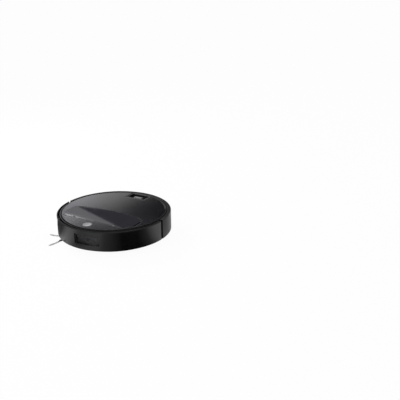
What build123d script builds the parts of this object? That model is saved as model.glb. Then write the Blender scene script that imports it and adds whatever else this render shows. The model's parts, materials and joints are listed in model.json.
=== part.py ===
"""Low round robot vacuum with a hatch deck, sprung bumper, drive wheels, brushes, mops and a rear water tank.

Millimetres, +Z up, origin on the floor under the middle of the body. The robot's front faces -Y,
so its own right side is -X.
"""
import math
import os

from build123d import *

# Overall body
BODY_R = 175.0
TOP_Z = 80.0
PAN_Z = 11.0
SKIRT_Z = 19.0
WALL = 2.5
RUN = 0.3
SHAFT_GAP = 0.05
# Cutting shapes and joined roots reach this far past a face
OVER = 1.0

# Bumper and the frame ring behind it
BUMPER_TRAVEL = 6.0
BUMPER_FLANGE = 3.0
SEAM_SPARE = 3.0
SEAM = BUMPER_TRAVEL + SEAM_SPARE
SHOULDER = 2.8
FLANGE_T = 3.0
RIM_DROP = 1.0
RIM_TOP = TOP_Z - RIM_DROP
BUMPER_IN_R = BODY_R - BUMPER_FLANGE
FRAME_R = BUMPER_IN_R - BUMPER_TRAVEL - RUN
FRAME_IN_R = FRAME_R - WALL
RING_DROP = 0.4
RING_TOP = RIM_TOP - RING_DROP
SHELL_LAP = 0.5
VENTS = 7
VENT_FROM = 38.0
VENT_W = 2.4
VENT_PITCH = 5.3
VENT_LIFT = 18.0
VENT_H = 26.0

# Top deck
LIP_W = 3.8
GROOVE = 1.2
DECK_T = 3.5
DECK_R = FRAME_R - LIP_W - GROOVE
DECK_Z = TOP_Z - DECK_T
LEDGE_W = 6.5
LEDGE_T = 2.5
LEDGE_R = DECK_R - LEDGE_W
DECK_EDGE = 1.2
POST_R = 2.5
POST_L = 5.0
POST_OUT = 6.0

# Base pan
PAN_T = 3.0
PAN_TOP = PAN_Z + PAN_T
PAN_INSET = 16.0
PAN_R = BODY_R - PAN_INSET
RIM_INSET = 3.0
RIM_R = BODY_R - RIM_INSET
RIM_Z = SKIRT_Z - RUN
RIM_EDGE = 1.2
RIM_LAP = 1.0
RIM_IN_R = FRAME_IN_R - RIM_LAP
RIM_SLOPE = 2.0

# Sensor window in the bumper and the sensors behind it, with angles from straight ahead towards +X
WINDOW_FROM = -5.5
WINDOW_TO = 21.0
WINDOW_H = 30.0
WINDOW_MID_Z = (SKIRT_Z + RIM_TOP) / 2
WINDOW_Z = WINDOW_MID_Z - WINDOW_H / 2
WINDOW_RECESS = 0.8
WINDOW_T = 1.6
SENSOR_AT = (WINDOW_FROM + WINDOW_TO) / 2
SENSOR_FRONT = BODY_R - WINDOW_RECESS - WINDOW_T - BUMPER_TRAVEL - 2 * RUN
CARRIER_SINK = 1.5
CARRIER_FRONT = FRAME_R - CARRIER_SINK
CARRIER_DEPTH = 5.0
CARRIER_MARGIN = 3.0
CARRIER_FLANGE = 5.0
CARRIER_TURN = 1.0
LENS_R = 6.0
LENS_SEAT = 1.5
LENS_SINK = 0.2
BARREL_WALL = 1.5
BARREL_BACK = 0.4
LASER_R = 3.2
LASER_L = 3.0
LASER_OUT = 0.4
LASER_STEP = 8.5

# Main brush in its chamber
BRUSH_Y = -62.0
BRUSH_R = 19.0
BRUSH_FLOOR = 5.0
BRUSH_Z = BRUSH_FLOOR + BRUSH_R
BRUSH_CORE_R = 9.0
BRUSH_SLEEVE_R = 11.5
BRUSH_HALF = 78.0
BRUSH_FINS = 6
FIN_W = 2.2
FIN_TWIST = 34.0
FIN_GAP = 4.0
FIN_RUNS = 4
END_CAP_W = 3.0
END_CAP_LIP = 1.0
FIN_HALF = BRUSH_HALF - END_CAP_W
BRUSH_AXLE_R = 3.0
AXLE_ROOM = 1.0
STUB_L = 4.0
BRUSH_END = 5.5
CHAMBER_HALF_W = BRUSH_HALF + BRUSH_END
CHAMBER_GAP = 2.5
ROOF_GAP = 1.3
CHAMBER_ROOF = BRUSH_Z + BRUSH_R + ROOF_GAP
BEARING_LIFT = 3.0
BEARING_SKIN = 0.5
COVER_MARGIN = 8.0
COVER_T = 2.8
COVER_BAR = 2.4
COVER_CORNER = 4.0
MOUTH_MARGIN = 2.0
BAR_DROP = 0.4
CLIP_X = 50.0
CLIP_W = 16.0
CLIP_L = 4.5
CLIP_T = 1.5
CLIP_FINGER = 7.0
GEARBOX_W = 22.0
GEARBOX_EDGE = 6.0
BRUSH_MOTOR_R = 8.0
BRUSH_MOTOR_L = 5.0
BRUSH_MOTOR_BACK = 4.0
BRUSH_MOTOR_UP = 8.0

# Hatch over the service bay, hinged at its front edge
HATCH_HALF_W = 125.0
HATCH_INSET = 52.7
HATCH_FRONT = -(DECK_R - HATCH_INSET)
HATCH_DEPTH = 97.0
HATCH_APEX = HATCH_FRONT + HATCH_DEPTH
HATCH_ARC_R = 400.0
HATCH_SIDE = 10.0
HATCH_TAPER = 14.0
HATCH_NECK = HATCH_HALF_W - HATCH_TAPER
HATCH_CORNER = 12.0
HATCH_GAP = 0.6
HATCH_SINK = 0.2
HATCH_T = DECK_T - HATCH_SINK
RIB_T = 1.6
RIB_W = 2.0
RIB_INSET = 10.0
BARREL_R = 3.0
BARREL_INSET = 11.0
BARREL_HALF = HATCH_NECK - BARREL_INSET
BARREL_ROOM = 1.0
HINGE_Y = HATCH_FRONT + BARREL_R
HINGE_Z = TOP_Z - BARREL_R
PIN_R = 1.5
PIN_L = 18.0
SCOOP_L = 38.0
SCOOP_W = 16.0
SCOOP_DEPTH = 2.5
SCOOP_BEHIND = 42.0

# Service bay and dust box
BAY_HALF_W = 82.0
BAY_FRONT = HINGE_Y + BARREL_R + BARREL_ROOM
BAY_INSET = 7.0
BAY_REAR = HATCH_APEX - BAY_INSET
BAY_CLEAR = 0.5
BAY_Z = CHAMBER_ROOF + WALL + BAY_CLEAR
BAY_WALL = 2.0
BAY_FLANGE = 4.0
BAY_FLANGE_T = 2.0
KNUCKLE_INSET = 8.0
KNUCKLE_X = BAY_HALF_W - KNUCKLE_INSET
KNUCKLE_W = 8.0
BOX_GAP = 0.6
BOX_WALL = 2.0
BOX_CORNER = 5.0
BOX_INSET = BAY_WALL + BOX_GAP
BOX_LOW = BAY_Z + BAY_WALL
BOX_LID_T = 3.0
LID_GAP = 2.1
BOX_TOP = TOP_Z - HATCH_T - RIB_T - LID_GAP - BOX_LID_T
GRIP_L = 70.0
GRIP_W = 22.0
GRIP_FLOOR = 1.0
GRIP_BAR_L = 60.0
GRIP_BAR_W = 6.0
FILTER_T = 8.0
FILTER_HALF_W = 55.0
FILTER_H = 13.0
FILTER_FRAME = 3.0
FILTER_EDGE = 2.0
PLEATS = 22

# Power button
BUTTON_INSET = 26.7
BUTTON_Y = -(DECK_R - BUTTON_INSET)
BUTTON_R = 13.0
BEZEL_W = 2.0
BUTTON_TRAVEL = 1.0
BUTTON_FLANGE = 1.5
BUTTON_FLANGE_T = 1.2
BUTTON_STEM_R = 2.5
DISH_R = 80.0
DISH_DEPTH = 0.8
BOARD_T = 1.6
BUTTON_BOARD_MARGIN = 9.0
SWITCH_W = 6.0
SWITCH_H = 0.7

# Mops on their lifting carriage
MOP_R = 55.0
MOP_CUP_GAP = 1.2
MOP_CUP_R = MOP_R + MOP_CUP_GAP
MOP_SPLIT = 0.8
MOP_X = MOP_CUP_R + MOP_SPLIT
MOP_INSET = 75.0
MOP_Y = PAN_R - MOP_INSET
MOP_LIFT = 8.8
MOP_PAD_T = 6.0
MOP_PAD_EDGE = 4.2
MOP_PLATE_T = 3.0
MOP_REST_Z = MOP_LIFT + RUN
MOP_CUP_ROOF = 20.0
MOP_CUP_TOP = MOP_CUP_ROOF + PAN_T
MOP_SPINDLE_R = 5.0
PLATE_INSET = 4.0
PLATE_WEB_T = 2.0
PLATE_BOSS_R = 14.0
PLATE_RIBS = 6
PLATE_RIB_W = 2.0
PLATE_RIB_INSET = 6.0
CARRIAGE_T = 7.0
CARRIAGE_Z = MOP_CUP_TOP + MOP_LIFT + RUN
CARRIAGE_TOP = CARRIAGE_Z + CARRIAGE_T
SLEEVE_R = 9.0
SLEEVE_RISE = 2.0
SLEEVE_ROOF = 0.8
SPINDLE_SHORT = 1.0
BEAM_W = 24.0
MOP_MOTOR_W = 40.0
MOP_MOTOR_L = 22.0

# Rear water tank
TANK_HALF_W = 79.0
TANK_LEAD = 34.0
TANK_FRONT = MOP_Y - TANK_LEAD
TANK_CLEAR = 4.9
TANK_Z = CARRIAGE_TOP + TANK_CLEAR
TANK_WALL = 2.5
LATCH_HALF_W = 36.0
LATCH_BACK = 65.0
LATCH_FRONT = BODY_R - LATCH_BACK
POCKET_HALF_W = 31.0
POCKET_L = 31.0
POCKET_BACK = 26.0
POCKET_REAR = BODY_R - POCKET_BACK
POCKET_FRONT = POCKET_REAR - POCKET_L
POCKET_DEPTH = 7.0
POCKET_Z = RIM_TOP - POCKET_DEPTH
LATCH_W = 28.0
LATCH_L = 12.0
LATCH_LEAD = 7.0
LATCH_TRAVEL = 2.0
LATCH_SEAT = 4.0
LATCH_DROP = 1.5
LATCH_EDGE = 1.5
CAP_R = 11.0
CAP_T = 4.0
CAP_STEP = 3.0
CAP_BACK = 34.0
CAP_Y = TANK_FRONT + CAP_BACK
CAP_X = -48.0
CAP_GRIP_L = 12.0
CAP_GRIP_W = 2.0

# Drive wheels on sprung arms, from the housing beside the tank outwards
WELL_GAP = 5.7
HOUSING_WALL = 2.0
HOUSING_IN = TANK_HALF_W + WELL_GAP
ARM_GAP = 2.0
ARM_W = 13.0
ARM_IN = HOUSING_IN + HOUSING_WALL + ARM_GAP
ARM_OUT = ARM_IN + ARM_W
WHEEL_W = 20.0
WHEEL_IN = ARM_OUT + RUN
WHEEL_OUT = WHEEL_IN + WHEEL_W
TYRE_GAP = 3.0
HOUSING_OUT = WHEEL_OUT + TYRE_GAP + HOUSING_WALL
WHEEL_Y = 4.0
WHEEL_R = 35.0
WHEEL_Z = WHEEL_R
TYRE_EDGE = 2.5
TREADS = 24
TREAD_W = 3.2
TREAD_DEPTH = 1.6
HUB_R = 28.0
HUB_SINK = 2.0
HUB_RIM = 4.0
HUB_DISH = 6.0
HUB_BOSS_R = 9.0
SPOKES = 5
SPOKE_W = 4.4
SPOKE_SINK = 3.0
AXLE_R = 4.0
ARM_AXLE_R = 13.0
ARM_PIVOT_R = 9.0
ARM_WAIST = 7.2
ARM_WAIST_AT = 19.0
ARM_TUCK = 1.0
PIVOT_Y = 58.0
PIVOT_Z = 45.0
PIVOT_R = 3.0
WHEEL_DROP = 18.0
MOTOR_R = 11.0
MOTOR_L = 20.0
MOTOR_EDGE = 2.0
MOTOR_BOSS_R = 4.0
MOTOR_BOSS_L = 2.0
MOTOR_SHIFT = 28.0
MOTOR_Y = PIVOT_Y - MOTOR_SHIFT
MOTOR_RISE = 5.0
MOTOR_ROOM = 3.0
MOTOR_SWING = 4.0
AXLE_WINDOW = 12.0
SLOT_GAP = 1.8
ARM_SLOT = 9.75
WHEEL_ROOM = 5.0
PIVOT_ROOM = 3.0
HOUSING_HEAD = 3.5
HOUSING_CORNER = 5.0

# Front caster
CASTER_INSET = 35.2
CASTER_Y = -(FRAME_IN_R - CASTER_INSET)
CASTER_R = 16.0
CASTER_W = 15.0
CASTER_EDGE = 3.0
CASTER_RIM = 5.0
CASTER_DISH = 3.0
CASTER_BOSS = 2.5
CASTER_TRAIL = 8.0
CASTER_AXLE_Y = CASTER_Y + CASTER_TRAIL
CASTER_AXLE_R = 2.0
CASTER_AXLE_INSET = 3.0
FORK_R = 21.0
FORK_EDGE = 5.0
FORK_TOP = 36.0
FORK_ROOM = FORK_TOP + RUN
FORK_GAP = 1.0
TREAD_ROOM = 1.5
CUP_GAP = 5.0
CASTER_CUP_R = FORK_R + CUP_GAP
STEM_R = 5.0
STEM_L = 12.0

# Side brush at the robot's right front
SIDE_BRUSH_AT = 44.0
SIDE_MOTOR_R = 14.0
SIDE_MOTOR_H = 28.0
SIDE_MOTOR_EDGE = 3.0
SIDE_MOTOR_GAP = 0.5
SIDE_BRUSH_REACH = RIM_IN_R - RIM_SLOPE - SIDE_MOTOR_GAP - SIDE_MOTOR_R
SIDE_SHAFT_R = 3.0
SIDE_SHAFT_L = 6.0
SIDE_ARMS = 5
SIDE_ARM_TURN = 6.5
SIDE_HUB_R = 13.0
SIDE_HUB_Z = 4.0
SIDE_HUB_EDGE = 2.5
SIDE_HUB_ROOM = 2.0
SIDE_HUB_SINK = 1.0
SIDE_ARM_L = 20.0
SIDE_ARM_ROOT = 4.0
SIDE_ARM_W = 8.8
SIDE_ARM_TIP_W = 6.4
SIDE_ARM_T = 3.0
TIP_R = 73.5
TIP_Z = 1.2
TIP_RISE = 1.2
SOCKET_L = 2.0
STRAND_ROWS = 4
STRAND_COLUMNS = 15
STRAND_R = 0.22
STRAND_FAN = 4.8
STRAND_SIDE_CUT = 6.6
STRAND_STAGGER = 2.9

# Battery behind the brush, under the middle frame
BATTERY_HALF_W = 62.0
BATTERY_H = 24.0
BATTERY_EDGE = 6.0
BATTERY_GAP = 1.0
DOOR_GAP = 1.5
BATTERY_FRONT = BRUSH_Y + BRUSH_R + CHAMBER_GAP + COVER_MARGIN + DOOR_GAP
BATTERY_CLEAR = 3.3
BATTERY_REAR = MOP_Y - MOP_CUP_R - WALL - BATTERY_CLEAR
DOOR_MARGIN = 4.0
DOOR_T = 1.6
SCREW_R = 1.4
SCREW_HEAD_R = 2.8
SCREW_HEAD_T = 1.0
SCREW_EDGE = 0.6

# Middle frame with the fan and the main board
MID_T = 2.5
MID_Z = PAN_TOP + BATTERY_H + RUN
MID_TOP = MID_Z + MID_T
MID_LEAD = 38.0
MID_REAR = MOP_Y - MID_LEAD
MID_CORNER = 5.0
MID_LEG_R = 4.0
MID_LEG_INSET = 10.0
PEG_R = 2.0
PEG_H = 2.0
PEG_INSET = 5.0
FAN_X = 36.0
FAN_INSET = 30.0
FAN_Y = MID_REAR - FAN_INSET
FAN_Z = MID_TOP
FAN_R = 27.0
FAN_H = 26.0
FAN_TOP = FAN_Z + FAN_H
FAN_WALL = 2.0
FAN_EDGE = 4.0
FAN_INLET_R = 11.0
FAN_MOTOR_R = 11.0
FAN_MOTOR_H = 8.0
FAN_MOTOR_TOP = FAN_Z + FAN_WALL + FAN_MOTOR_H
FAN_SHAFT_R = 2.0
FAN_SHAFT_SHORT = 4.0
IMPELLER_R = 22.0
IMPELLER_T = 1.5
IMPELLER_HUB_R = 6.0
IMPELLER_SHORT = 4.0
BLADES = 9
BLADE_T = 1.2
BLADE_SHIFT = 2.0
BLADE_INSET = 1.0
BLADE_SHORT = 1.0
MID_TUCK = 2.0
MID_HALF_W = FAN_X + FAN_R - MID_TUCK
BOARD_INSET = 1.0
BOARD_FAN_GAP = 3.0
BOARD_BAY_GAP = 6.0
BOARD_REAR_GAP = 2.0
# Place from the board's front right corner, width, depth and height of each component
CHIPS = ((16, 20, 16, 16, 2.0), (36, 38, 12, 12, 1.6), (54, 16, 10, 18, 4.0), (14, 46, 20, 6, 6.0))

# Small fittings along the front of the pan
SPEAKER_AT = 30.0
SPEAKER_INSET = 22.5
SPEAKER_REACH = FRAME_IN_R - SPEAKER_INSET
SPEAKER_R = 14.0
SPEAKER_H = 12.0
MAGNET_R = 10.0
MAGNET_H = 4.0
CLIFF_AT = (-64.0, -30.0, 30.0, 64.0)
CLIFF_W = 16.0
CLIFF_D = 9.0
CLIFF_REACH = PAN_R - CLIFF_D
CLIFF_SINK = 0.5
CONTACT_W = 22.0
CONTACT_D = 9.0
CONTACT_X = 48.0
CONTACT_INSET = 20.0
CONTACT_Y = -(PAN_R - CONTACT_INSET)
INLAY_GAP = 0.1

LOW = (Align.CENTER, Align.CENTER, Align.MIN)


def disc(radius, low, high, x=0.0, y=0.0):
    """Upright cylinder between two heights."""
    return Pos(x, y, low) * Cylinder(radius, high - low, align=LOW)


def block(x0, x1, y0, y1, z0, z1):
    """Box between two corners."""
    return Pos((x0 + x1) / 2, (y0 + y1) / 2, (z0 + z1) / 2) * Box(x1 - x0, y1 - y0, z1 - z0)


def rod(radius, x0, x1, y, z):
    """Cylinder along X."""
    return Pos(x0, y, z) * (Rot(0, 90, 0) * Cylinder(radius, x1 - x0, align=LOW))


def slab(sketch, low, high):
    """Sketch made into a plate between two heights."""
    return extrude(Pos(0, 0, low) * sketch, high - low)


def turned(points, arc=360.0):
    """Half section of (radius, height) points turned about Z from +X, going round by the rear."""
    return revolve(Plane.XZ * make_face(Polyline(*points, close=True)), Axis.Z, arc)


def front_sector(points, start, end):
    """Half section turned about Z between two angles, measured from straight ahead towards +X."""
    return Rot(0, 0, start - 90) * turned(points, end - start)


def box_points(r0, r1, z0, z1):
    """Rectangle of a half section."""
    return [(r0, z0), (r1, z0), (r1, z1), (r0, z1)]


def shouldered(points):
    """Half section whose upper outer corner is rounded."""
    face = make_face(Polyline(*points, close=True))
    corner = max(face.vertices(), key=lambda v: v.X + v.Y)
    return Plane.XZ * fillet(corner, SHOULDER)


def round_edges(shape):
    """Circular edges, from the lowest to the highest."""
    return shape.edges().filter_by(GeomType.CIRCLE).sort_by(Axis.Z)


def one(shape):
    """The single solid of a result."""
    solids = shape.solids()
    assert len(solids) == 1, len(solids)
    return solids[0]


def mirrored(shape, side):
    """The same piece on the robot's left (side 1) or right (side -1)."""
    return shape if side > 0 else mirror(shape, Plane.YZ)


def polar(reach, angle):
    """Place at a reach from the middle, at an angle from straight ahead towards +X."""
    turn = math.radians(angle)
    return reach * math.sin(turn), -reach * math.cos(turn)


def chamber(grow, low, high):
    """Block round the main brush."""
    half = CHAMBER_HALF_W + grow
    deep = BRUSH_R + CHAMBER_GAP + grow
    return block(-half, half, BRUSH_Y - deep, BRUSH_Y + deep, low, high)


def cover_clip(grow, finger, high):
    """Release tabs in front of the brush cover, or with a finger's length their room in the pan."""
    front = BRUSH_Y - BRUSH_R - CHAMBER_GAP - COVER_MARGIN
    half = CLIP_W / 2 + grow
    return [block(x - half, x + half, front - CLIP_L - finger, front + OVER, PAN_Z, high)
            for x in (-CLIP_X, CLIP_X)]


def bay_box(inset, low, high):
    """Block inside the walls of the service bay."""
    return block(-BAY_HALF_W + inset, BAY_HALF_W - inset, BAY_FRONT + inset, BAY_REAR - inset, low, high)


def skirt(inner_r):
    """C-shaped section of the outer wall, with a rounded shoulder, a top flange and a lower flange."""
    return shouldered([
        (inner_r, RIM_TOP - FLANGE_T),
        (inner_r, RIM_TOP),
        (BODY_R, RIM_TOP),
        (BODY_R, SKIRT_Z),
        (BUMPER_IN_R, SKIRT_Z),
        (BUMPER_IN_R, SKIRT_Z + WALL),
        (BODY_R - WALL, SKIRT_Z + WALL),
        (BODY_R - WALL, RIM_TOP - FLANGE_T),
    ])


def hatch_outline(grow=0.0):
    """Plan of the hatch: straight hinge edge in front, tapered front corners and a wide arc behind."""
    low = HATCH_FRONT - grow
    half = HATCH_HALF_W + grow
    neck = HATCH_NECK + grow
    side = HATCH_FRONT + HATCH_SIDE
    right = [(neck, low), (neck, side), (half, side + HATCH_TAPER), (half, HATCH_APEX + grow)]
    left = [(-x, y) for x, y in reversed(right)]
    arc = Pos(0, HATCH_APEX - HATCH_ARC_R) * Circle(HATCH_ARC_R + grow)
    outline = make_face(Polyline(*right, *left, close=True)) & arc
    rear = outline.vertices().sort_by(Axis.Y)[-2:]
    return fillet(rear, HATCH_CORNER + grow)


def screw_places():
    """Middles of the four screws, inside the door's corners."""
    inset = SCREW_HEAD_R + SCREW_EDGE
    half = BATTERY_HALF_W + DOOR_MARGIN - inset
    rows = (BATTERY_FRONT + inset, BATTERY_REAR - inset)
    return [(x, y) for x in (-half, half) for y in rows]


def cliff_inlays(gap, low, high):
    """Blocks at the four floor sensors along the front rim."""
    half = CLIFF_W / 2 - gap
    deep = CLIFF_D / 2 - gap
    inlay = block(-half, half, -CLIFF_REACH - deep, -CLIFF_REACH + deep, low, high)
    return [Rot(0, 0, angle) * inlay for angle in CLIFF_AT]


def contact_inlays(gap, low, high):
    """Blocks at the two charging contacts."""
    half = CONTACT_W / 2 - gap
    deep = CONTACT_D / 2 - gap
    return [block(x - half, x + half, CONTACT_Y - deep, CONTACT_Y + deep, low, high)
            for x in (-CONTACT_X, CONTACT_X)]


def side_brush_centre():
    """Middle of the side brush in plan."""
    return polar(SIDE_BRUSH_REACH, -SIDE_BRUSH_AT)


def dropped_axle_y():
    """Y of the wheel's middle when its arm hangs at the end of its travel."""
    turn = math.radians(WHEEL_DROP)
    return PIVOT_Y + (WHEEL_Y - PIVOT_Y) * math.cos(turn) - (WHEEL_Z - PIVOT_Z) * math.sin(turn)


def wheel_slot():
    """Room for the left wheel and its arm to drop through the pan."""
    high = PAN_TOP + OVER
    front = WHEEL_Y - WHEEL_R - SLOT_GAP
    rear = dropped_axle_y() + WHEEL_R + SLOT_GAP
    slot = block(WHEEL_IN - SLOT_GAP, WHEEL_OUT + SLOT_GAP, front, rear, 0, high)
    arm_front = WHEEL_Y - ARM_AXLE_R - SLOT_GAP
    arm_rear = dropped_axle_y() + ARM_AXLE_R + ARM_SLOT
    slot += block(ARM_IN - SLOT_GAP, WHEEL_OUT, arm_front, arm_rear, 0, high)
    return slot


def pan_blank():
    """Dished floor with the raised chamber, mop cups and caster cup, before anything is cut."""
    pan = turned([
        (0, PAN_Z),
        (PAN_R, PAN_Z),
        (RIM_R, RIM_Z - RIM_EDGE),
        (RIM_R, RIM_Z),
        (RIM_IN_R, RIM_Z),
        (RIM_IN_R - RIM_SLOPE, PAN_TOP),
        (0, PAN_TOP),
    ])
    pan += chamber(WALL, PAN_TOP - OVER, CHAMBER_ROOF + WALL)
    for side in (-1, 1):
        pan += disc(MOP_CUP_R + WALL, PAN_TOP - OVER, MOP_CUP_TOP, side * MOP_X, MOP_Y)
    pan += disc(CASTER_CUP_R + WALL, PAN_TOP - OVER, FORK_ROOM + PAN_T, 0, CASTER_Y)
    pan += disc(STEM_R + WALL, FORK_ROOM, FORK_ROOM + STEM_L, 0, CASTER_Y)
    return pan


def base_pan():
    """Floor pan with the rooms of everything that works through it."""
    pan = pan_blank()
    pan -= chamber(COVER_MARGIN + RUN, 0, PAN_Z + COVER_T)
    pan -= chamber(0, 0, CHAMBER_ROOF)
    pan -= cover_clip(RUN, CLIP_FINGER, PAN_Z + CLIP_T + RUN)
    wall = CHAMBER_HALF_W + WALL
    pan -= rod(BRUSH_AXLE_R + AXLE_ROOM, CHAMBER_HALF_W - OVER, wall + OVER, BRUSH_Y, BRUSH_Z)
    for side in (-1, 1):
        pan -= disc(MOP_CUP_R, 0, MOP_CUP_ROOF, side * MOP_X, MOP_Y)
        pan -= disc(SLEEVE_R + RUN, 0, CARRIAGE_Z, side * MOP_X, MOP_Y)
        pan -= mirrored(wheel_slot(), side)
    pan -= disc(CASTER_CUP_R, 0, FORK_ROOM, 0, CASTER_Y)
    pan -= disc(STEM_R + SHAFT_GAP, 0, FORK_ROOM + STEM_L, 0, CASTER_Y)
    x, y = side_brush_centre()
    pan -= disc(SIDE_SHAFT_R + RUN, 0, PAN_TOP + OVER, x, y)
    pan -= disc(SIDE_HUB_R + SIDE_HUB_ROOM, 0, PAN_Z + SIDE_HUB_SINK, x, y)
    pan -= battery_opening(DOOR_MARGIN, 0, PAN_Z + DOOR_T)
    pan -= battery_opening(-DOOR_MARGIN, DOOR_MARGIN, PAN_TOP)
    pan -= [disc(SCREW_R, 0, PAN_TOP, x, y) for x, y in screw_places()]
    pan -= cliff_inlays(0, 0, PAN_TOP)
    pan -= contact_inlays(0, 0, PAN_Z + DOOR_T)
    return one(pan)


def battery_opening(margin, inset, high):
    """Room under the battery, wider than it by a margin and shorter by an inset at each end."""
    half = BATTERY_HALF_W + margin
    return block(-half, half, BATTERY_FRONT + inset, BATTERY_REAR - inset, 0, high)


def tank_room(gap=0.0):
    """Straight space that the tank slides out of, at the rear."""
    half = TANK_HALF_W + gap
    return block(-half, half, TANK_FRONT - gap, BODY_R + OVER, TANK_Z - gap, TOP_Z + OVER)


def upper_housing():
    """Frame ring with the deck's ledge, and the fixed outer wall of the rear half."""
    housing = turned([
        (FRAME_IN_R, RIM_Z),
        (FRAME_R, RIM_Z),
        (FRAME_R, RING_TOP),
        (DECK_R + GROOVE, RING_TOP),
        (DECK_R + GROOVE, DECK_Z),
        (LEDGE_R, DECK_Z),
        (LEDGE_R, DECK_Z - LEDGE_T),
        (FRAME_IN_R, DECK_Z - LEDGE_T),
    ])
    housing += revolve(skirt(FRAME_R - SHELL_LAP), Axis.Z, 180)
    housing -= tank_room(RUN)
    low = SKIRT_Z + VENT_LIFT
    vent = block(FRAME_R + OVER, BODY_R + OVER, -VENT_W / 2, VENT_W / 2, low, low + VENT_H)
    step = math.degrees(VENT_PITCH / BODY_R)
    housing -= [Rot(0, 0, VENT_FROM + k * step) * vent for k in range(VENTS)]
    room = box_points(FRAME_IN_R - OVER, FRAME_R + OVER, WINDOW_Z, WINDOW_Z + WINDOW_H)
    housing -= front_sector(room, WINDOW_FROM, WINDOW_TO)
    return one(housing)


def top_deck():
    """Round deck with the hatch opening, a finger scoop beside it, the button hole and the latch notch."""
    deck = disc(DECK_R, DECK_Z, TOP_Z)
    deck = fillet(round_edges(deck)[-1:], DECK_EDGE)
    deck -= slab(hatch_outline(HATCH_GAP), DECK_Z, TOP_Z)
    scoop = Pos(HATCH_HALF_W, HATCH_FRONT + SCOOP_BEHIND) * (Rot(0, 0, 90) * SlotOverall(SCOOP_L, SCOOP_W))
    deck -= slab(scoop, TOP_Z - SCOOP_DEPTH, TOP_Z)
    deck -= disc(BUTTON_R + BEZEL_W, DECK_Z, TOP_Z, 0, BUTTON_Y)
    notch = LATCH_HALF_W + RUN
    deck -= block(-notch, notch, LATCH_FRONT - RUN, BODY_R, DECK_Z, TOP_Z)
    for side in (-1, 1):
        deck += disc(POST_R, DECK_Z - POST_L, DECK_Z, side * (BUTTON_R + POST_OUT), BUTTON_Y)
    return one(deck)


def hatch():
    """Lid with its hinge barrel in front and a stiffening rib frame below."""
    low = TOP_Z - HATCH_T
    lid = slab(hatch_outline(), low, TOP_Z)
    lid -= block(-BODY_R, BODY_R, HATCH_FRONT - OVER, HINGE_Y, 0, TOP_Z)
    lid += rod(BARREL_R, -BARREL_HALF, BARREL_HALF, HINGE_Y, HINGE_Z)
    lid += bay_box(RIB_INSET, low - RIB_T, low) - bay_box(RIB_INSET + RIB_W, low - RIB_T, low)
    gap = KNUCKLE_W / 2 + RUN
    for x in (-KNUCKLE_X, KNUCKLE_X):
        lid -= block(x - gap, x + gap, HATCH_FRONT - OVER, HINGE_Y + BARREL_R + RUN, 0, TOP_Z + OVER)
        lid -= rod(PIN_R, x - PIN_L / 2, x + PIN_L / 2, HINGE_Y, HINGE_Z)
    return one(lid)


def hatch_pins():
    """Two short pins through the hinge knuckles."""
    half = PIN_L / 2 - RUN
    pins = [rod(PIN_R - SHAFT_GAP, x - half, x + half, HINGE_Y, HINGE_Z) for x in (-KNUCKLE_X, KNUCKLE_X)]
    return Compound([one(pin) for pin in pins])


def hinge_knuckle(x):
    """Bored round on a foot in front of the bay's wall."""
    low, high = x - KNUCKLE_W / 2, x + KNUCKLE_W / 2
    knuckle = rod(BARREL_R, low, high, HINGE_Y, HINGE_Z)
    knuckle += block(low, high, HATCH_FRONT, BAY_FRONT + OVER, HINGE_Z - 3 * BARREL_R, HINGE_Z - BARREL_R / 2)
    return knuckle - rod(PIN_R, low, high, HINGE_Y, HINGE_Z)


def service_bay():
    """Open bay under the hatch, hung from the deck by its flange, with two hinge knuckles."""
    bay = bay_box(0, BAY_Z, DECK_Z) - bay_box(BAY_WALL, BOX_LOW, DECK_Z)
    flange = slab(hatch_outline(BAY_FLANGE) & Circle(LEDGE_R - RUN), DECK_Z - BAY_FLANGE_T, DECK_Z)
    flange -= block(-BODY_R, BODY_R, -BODY_R, BAY_FRONT, 0, TOP_Z)
    bay += flange - bay_box(BAY_WALL, 0, TOP_Z)
    for x in (-KNUCKLE_X, KNUCKLE_X):
        bay += hinge_knuckle(x)
    return one(bay)


def dust_box():
    """Open box that takes the dirt, with a window behind for the filter."""
    box = bay_box(BOX_INSET, BOX_LOW, BOX_TOP)
    box = fillet(box.edges().filter_by(Axis.Z), BOX_CORNER)
    box -= bay_box(BOX_INSET + BOX_WALL, BOX_LOW + BOX_WALL, BOX_TOP)
    rear = BAY_REAR - BOX_INSET
    half = FILTER_HALF_W - FILTER_FRAME
    high = FILTER_H / 2 - FILTER_EDGE
    middle = (BOX_LOW + BOX_TOP) / 2
    box -= block(-half, half, rear - BOX_WALL, rear, middle - high, middle + high)
    return one(box)


def dust_box_lid():
    """Lid with a sunk grip and a bar across it."""
    high = BOX_TOP + BOX_LID_T
    lid = bay_box(BOX_INSET, BOX_TOP, high)
    lid = fillet(lid.edges().filter_by(Axis.Z), BOX_CORNER)
    middle = (BAY_FRONT + BAY_REAR) / 2
    lid -= slab(Pos(0, middle) * SlotOverall(GRIP_L, GRIP_W), BOX_TOP + GRIP_FLOOR, high)
    lid += slab(Pos(0, middle) * Rectangle(GRIP_BAR_L, GRIP_BAR_W), BOX_TOP + GRIP_FLOOR, high)
    return one(lid)


def dust_filter():
    """Pleated filter in its frame, against the box's rear wall."""
    rear = BAY_REAR - BOX_INSET - BOX_WALL
    front = rear - FILTER_T
    middle = (BOX_LOW + BOX_TOP) / 2
    high = FILTER_H / 2
    body = block(-FILTER_HALF_W, FILTER_HALF_W, front, rear, middle - high, middle + high)
    start = -FILTER_HALF_W + FILTER_FRAME
    pitch = -2 * start / PLEATS
    fold = high - FILTER_EDGE
    for k in range(PLEATS):
        x = start + (k + 0.5) * pitch
        body -= block(x - pitch / 4, x + pitch / 4, front, rear - FILTER_EDGE, middle - fold, middle + fold)
    return one(body)


def button_bezel():
    """Ring round the button, level with the deck."""
    ring = disc(BUTTON_R + BEZEL_W, DECK_Z, TOP_Z, 0, BUTTON_Y)
    return one(ring - disc(BUTTON_R + RUN, DECK_Z, TOP_Z, 0, BUTTON_Y))


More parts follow.
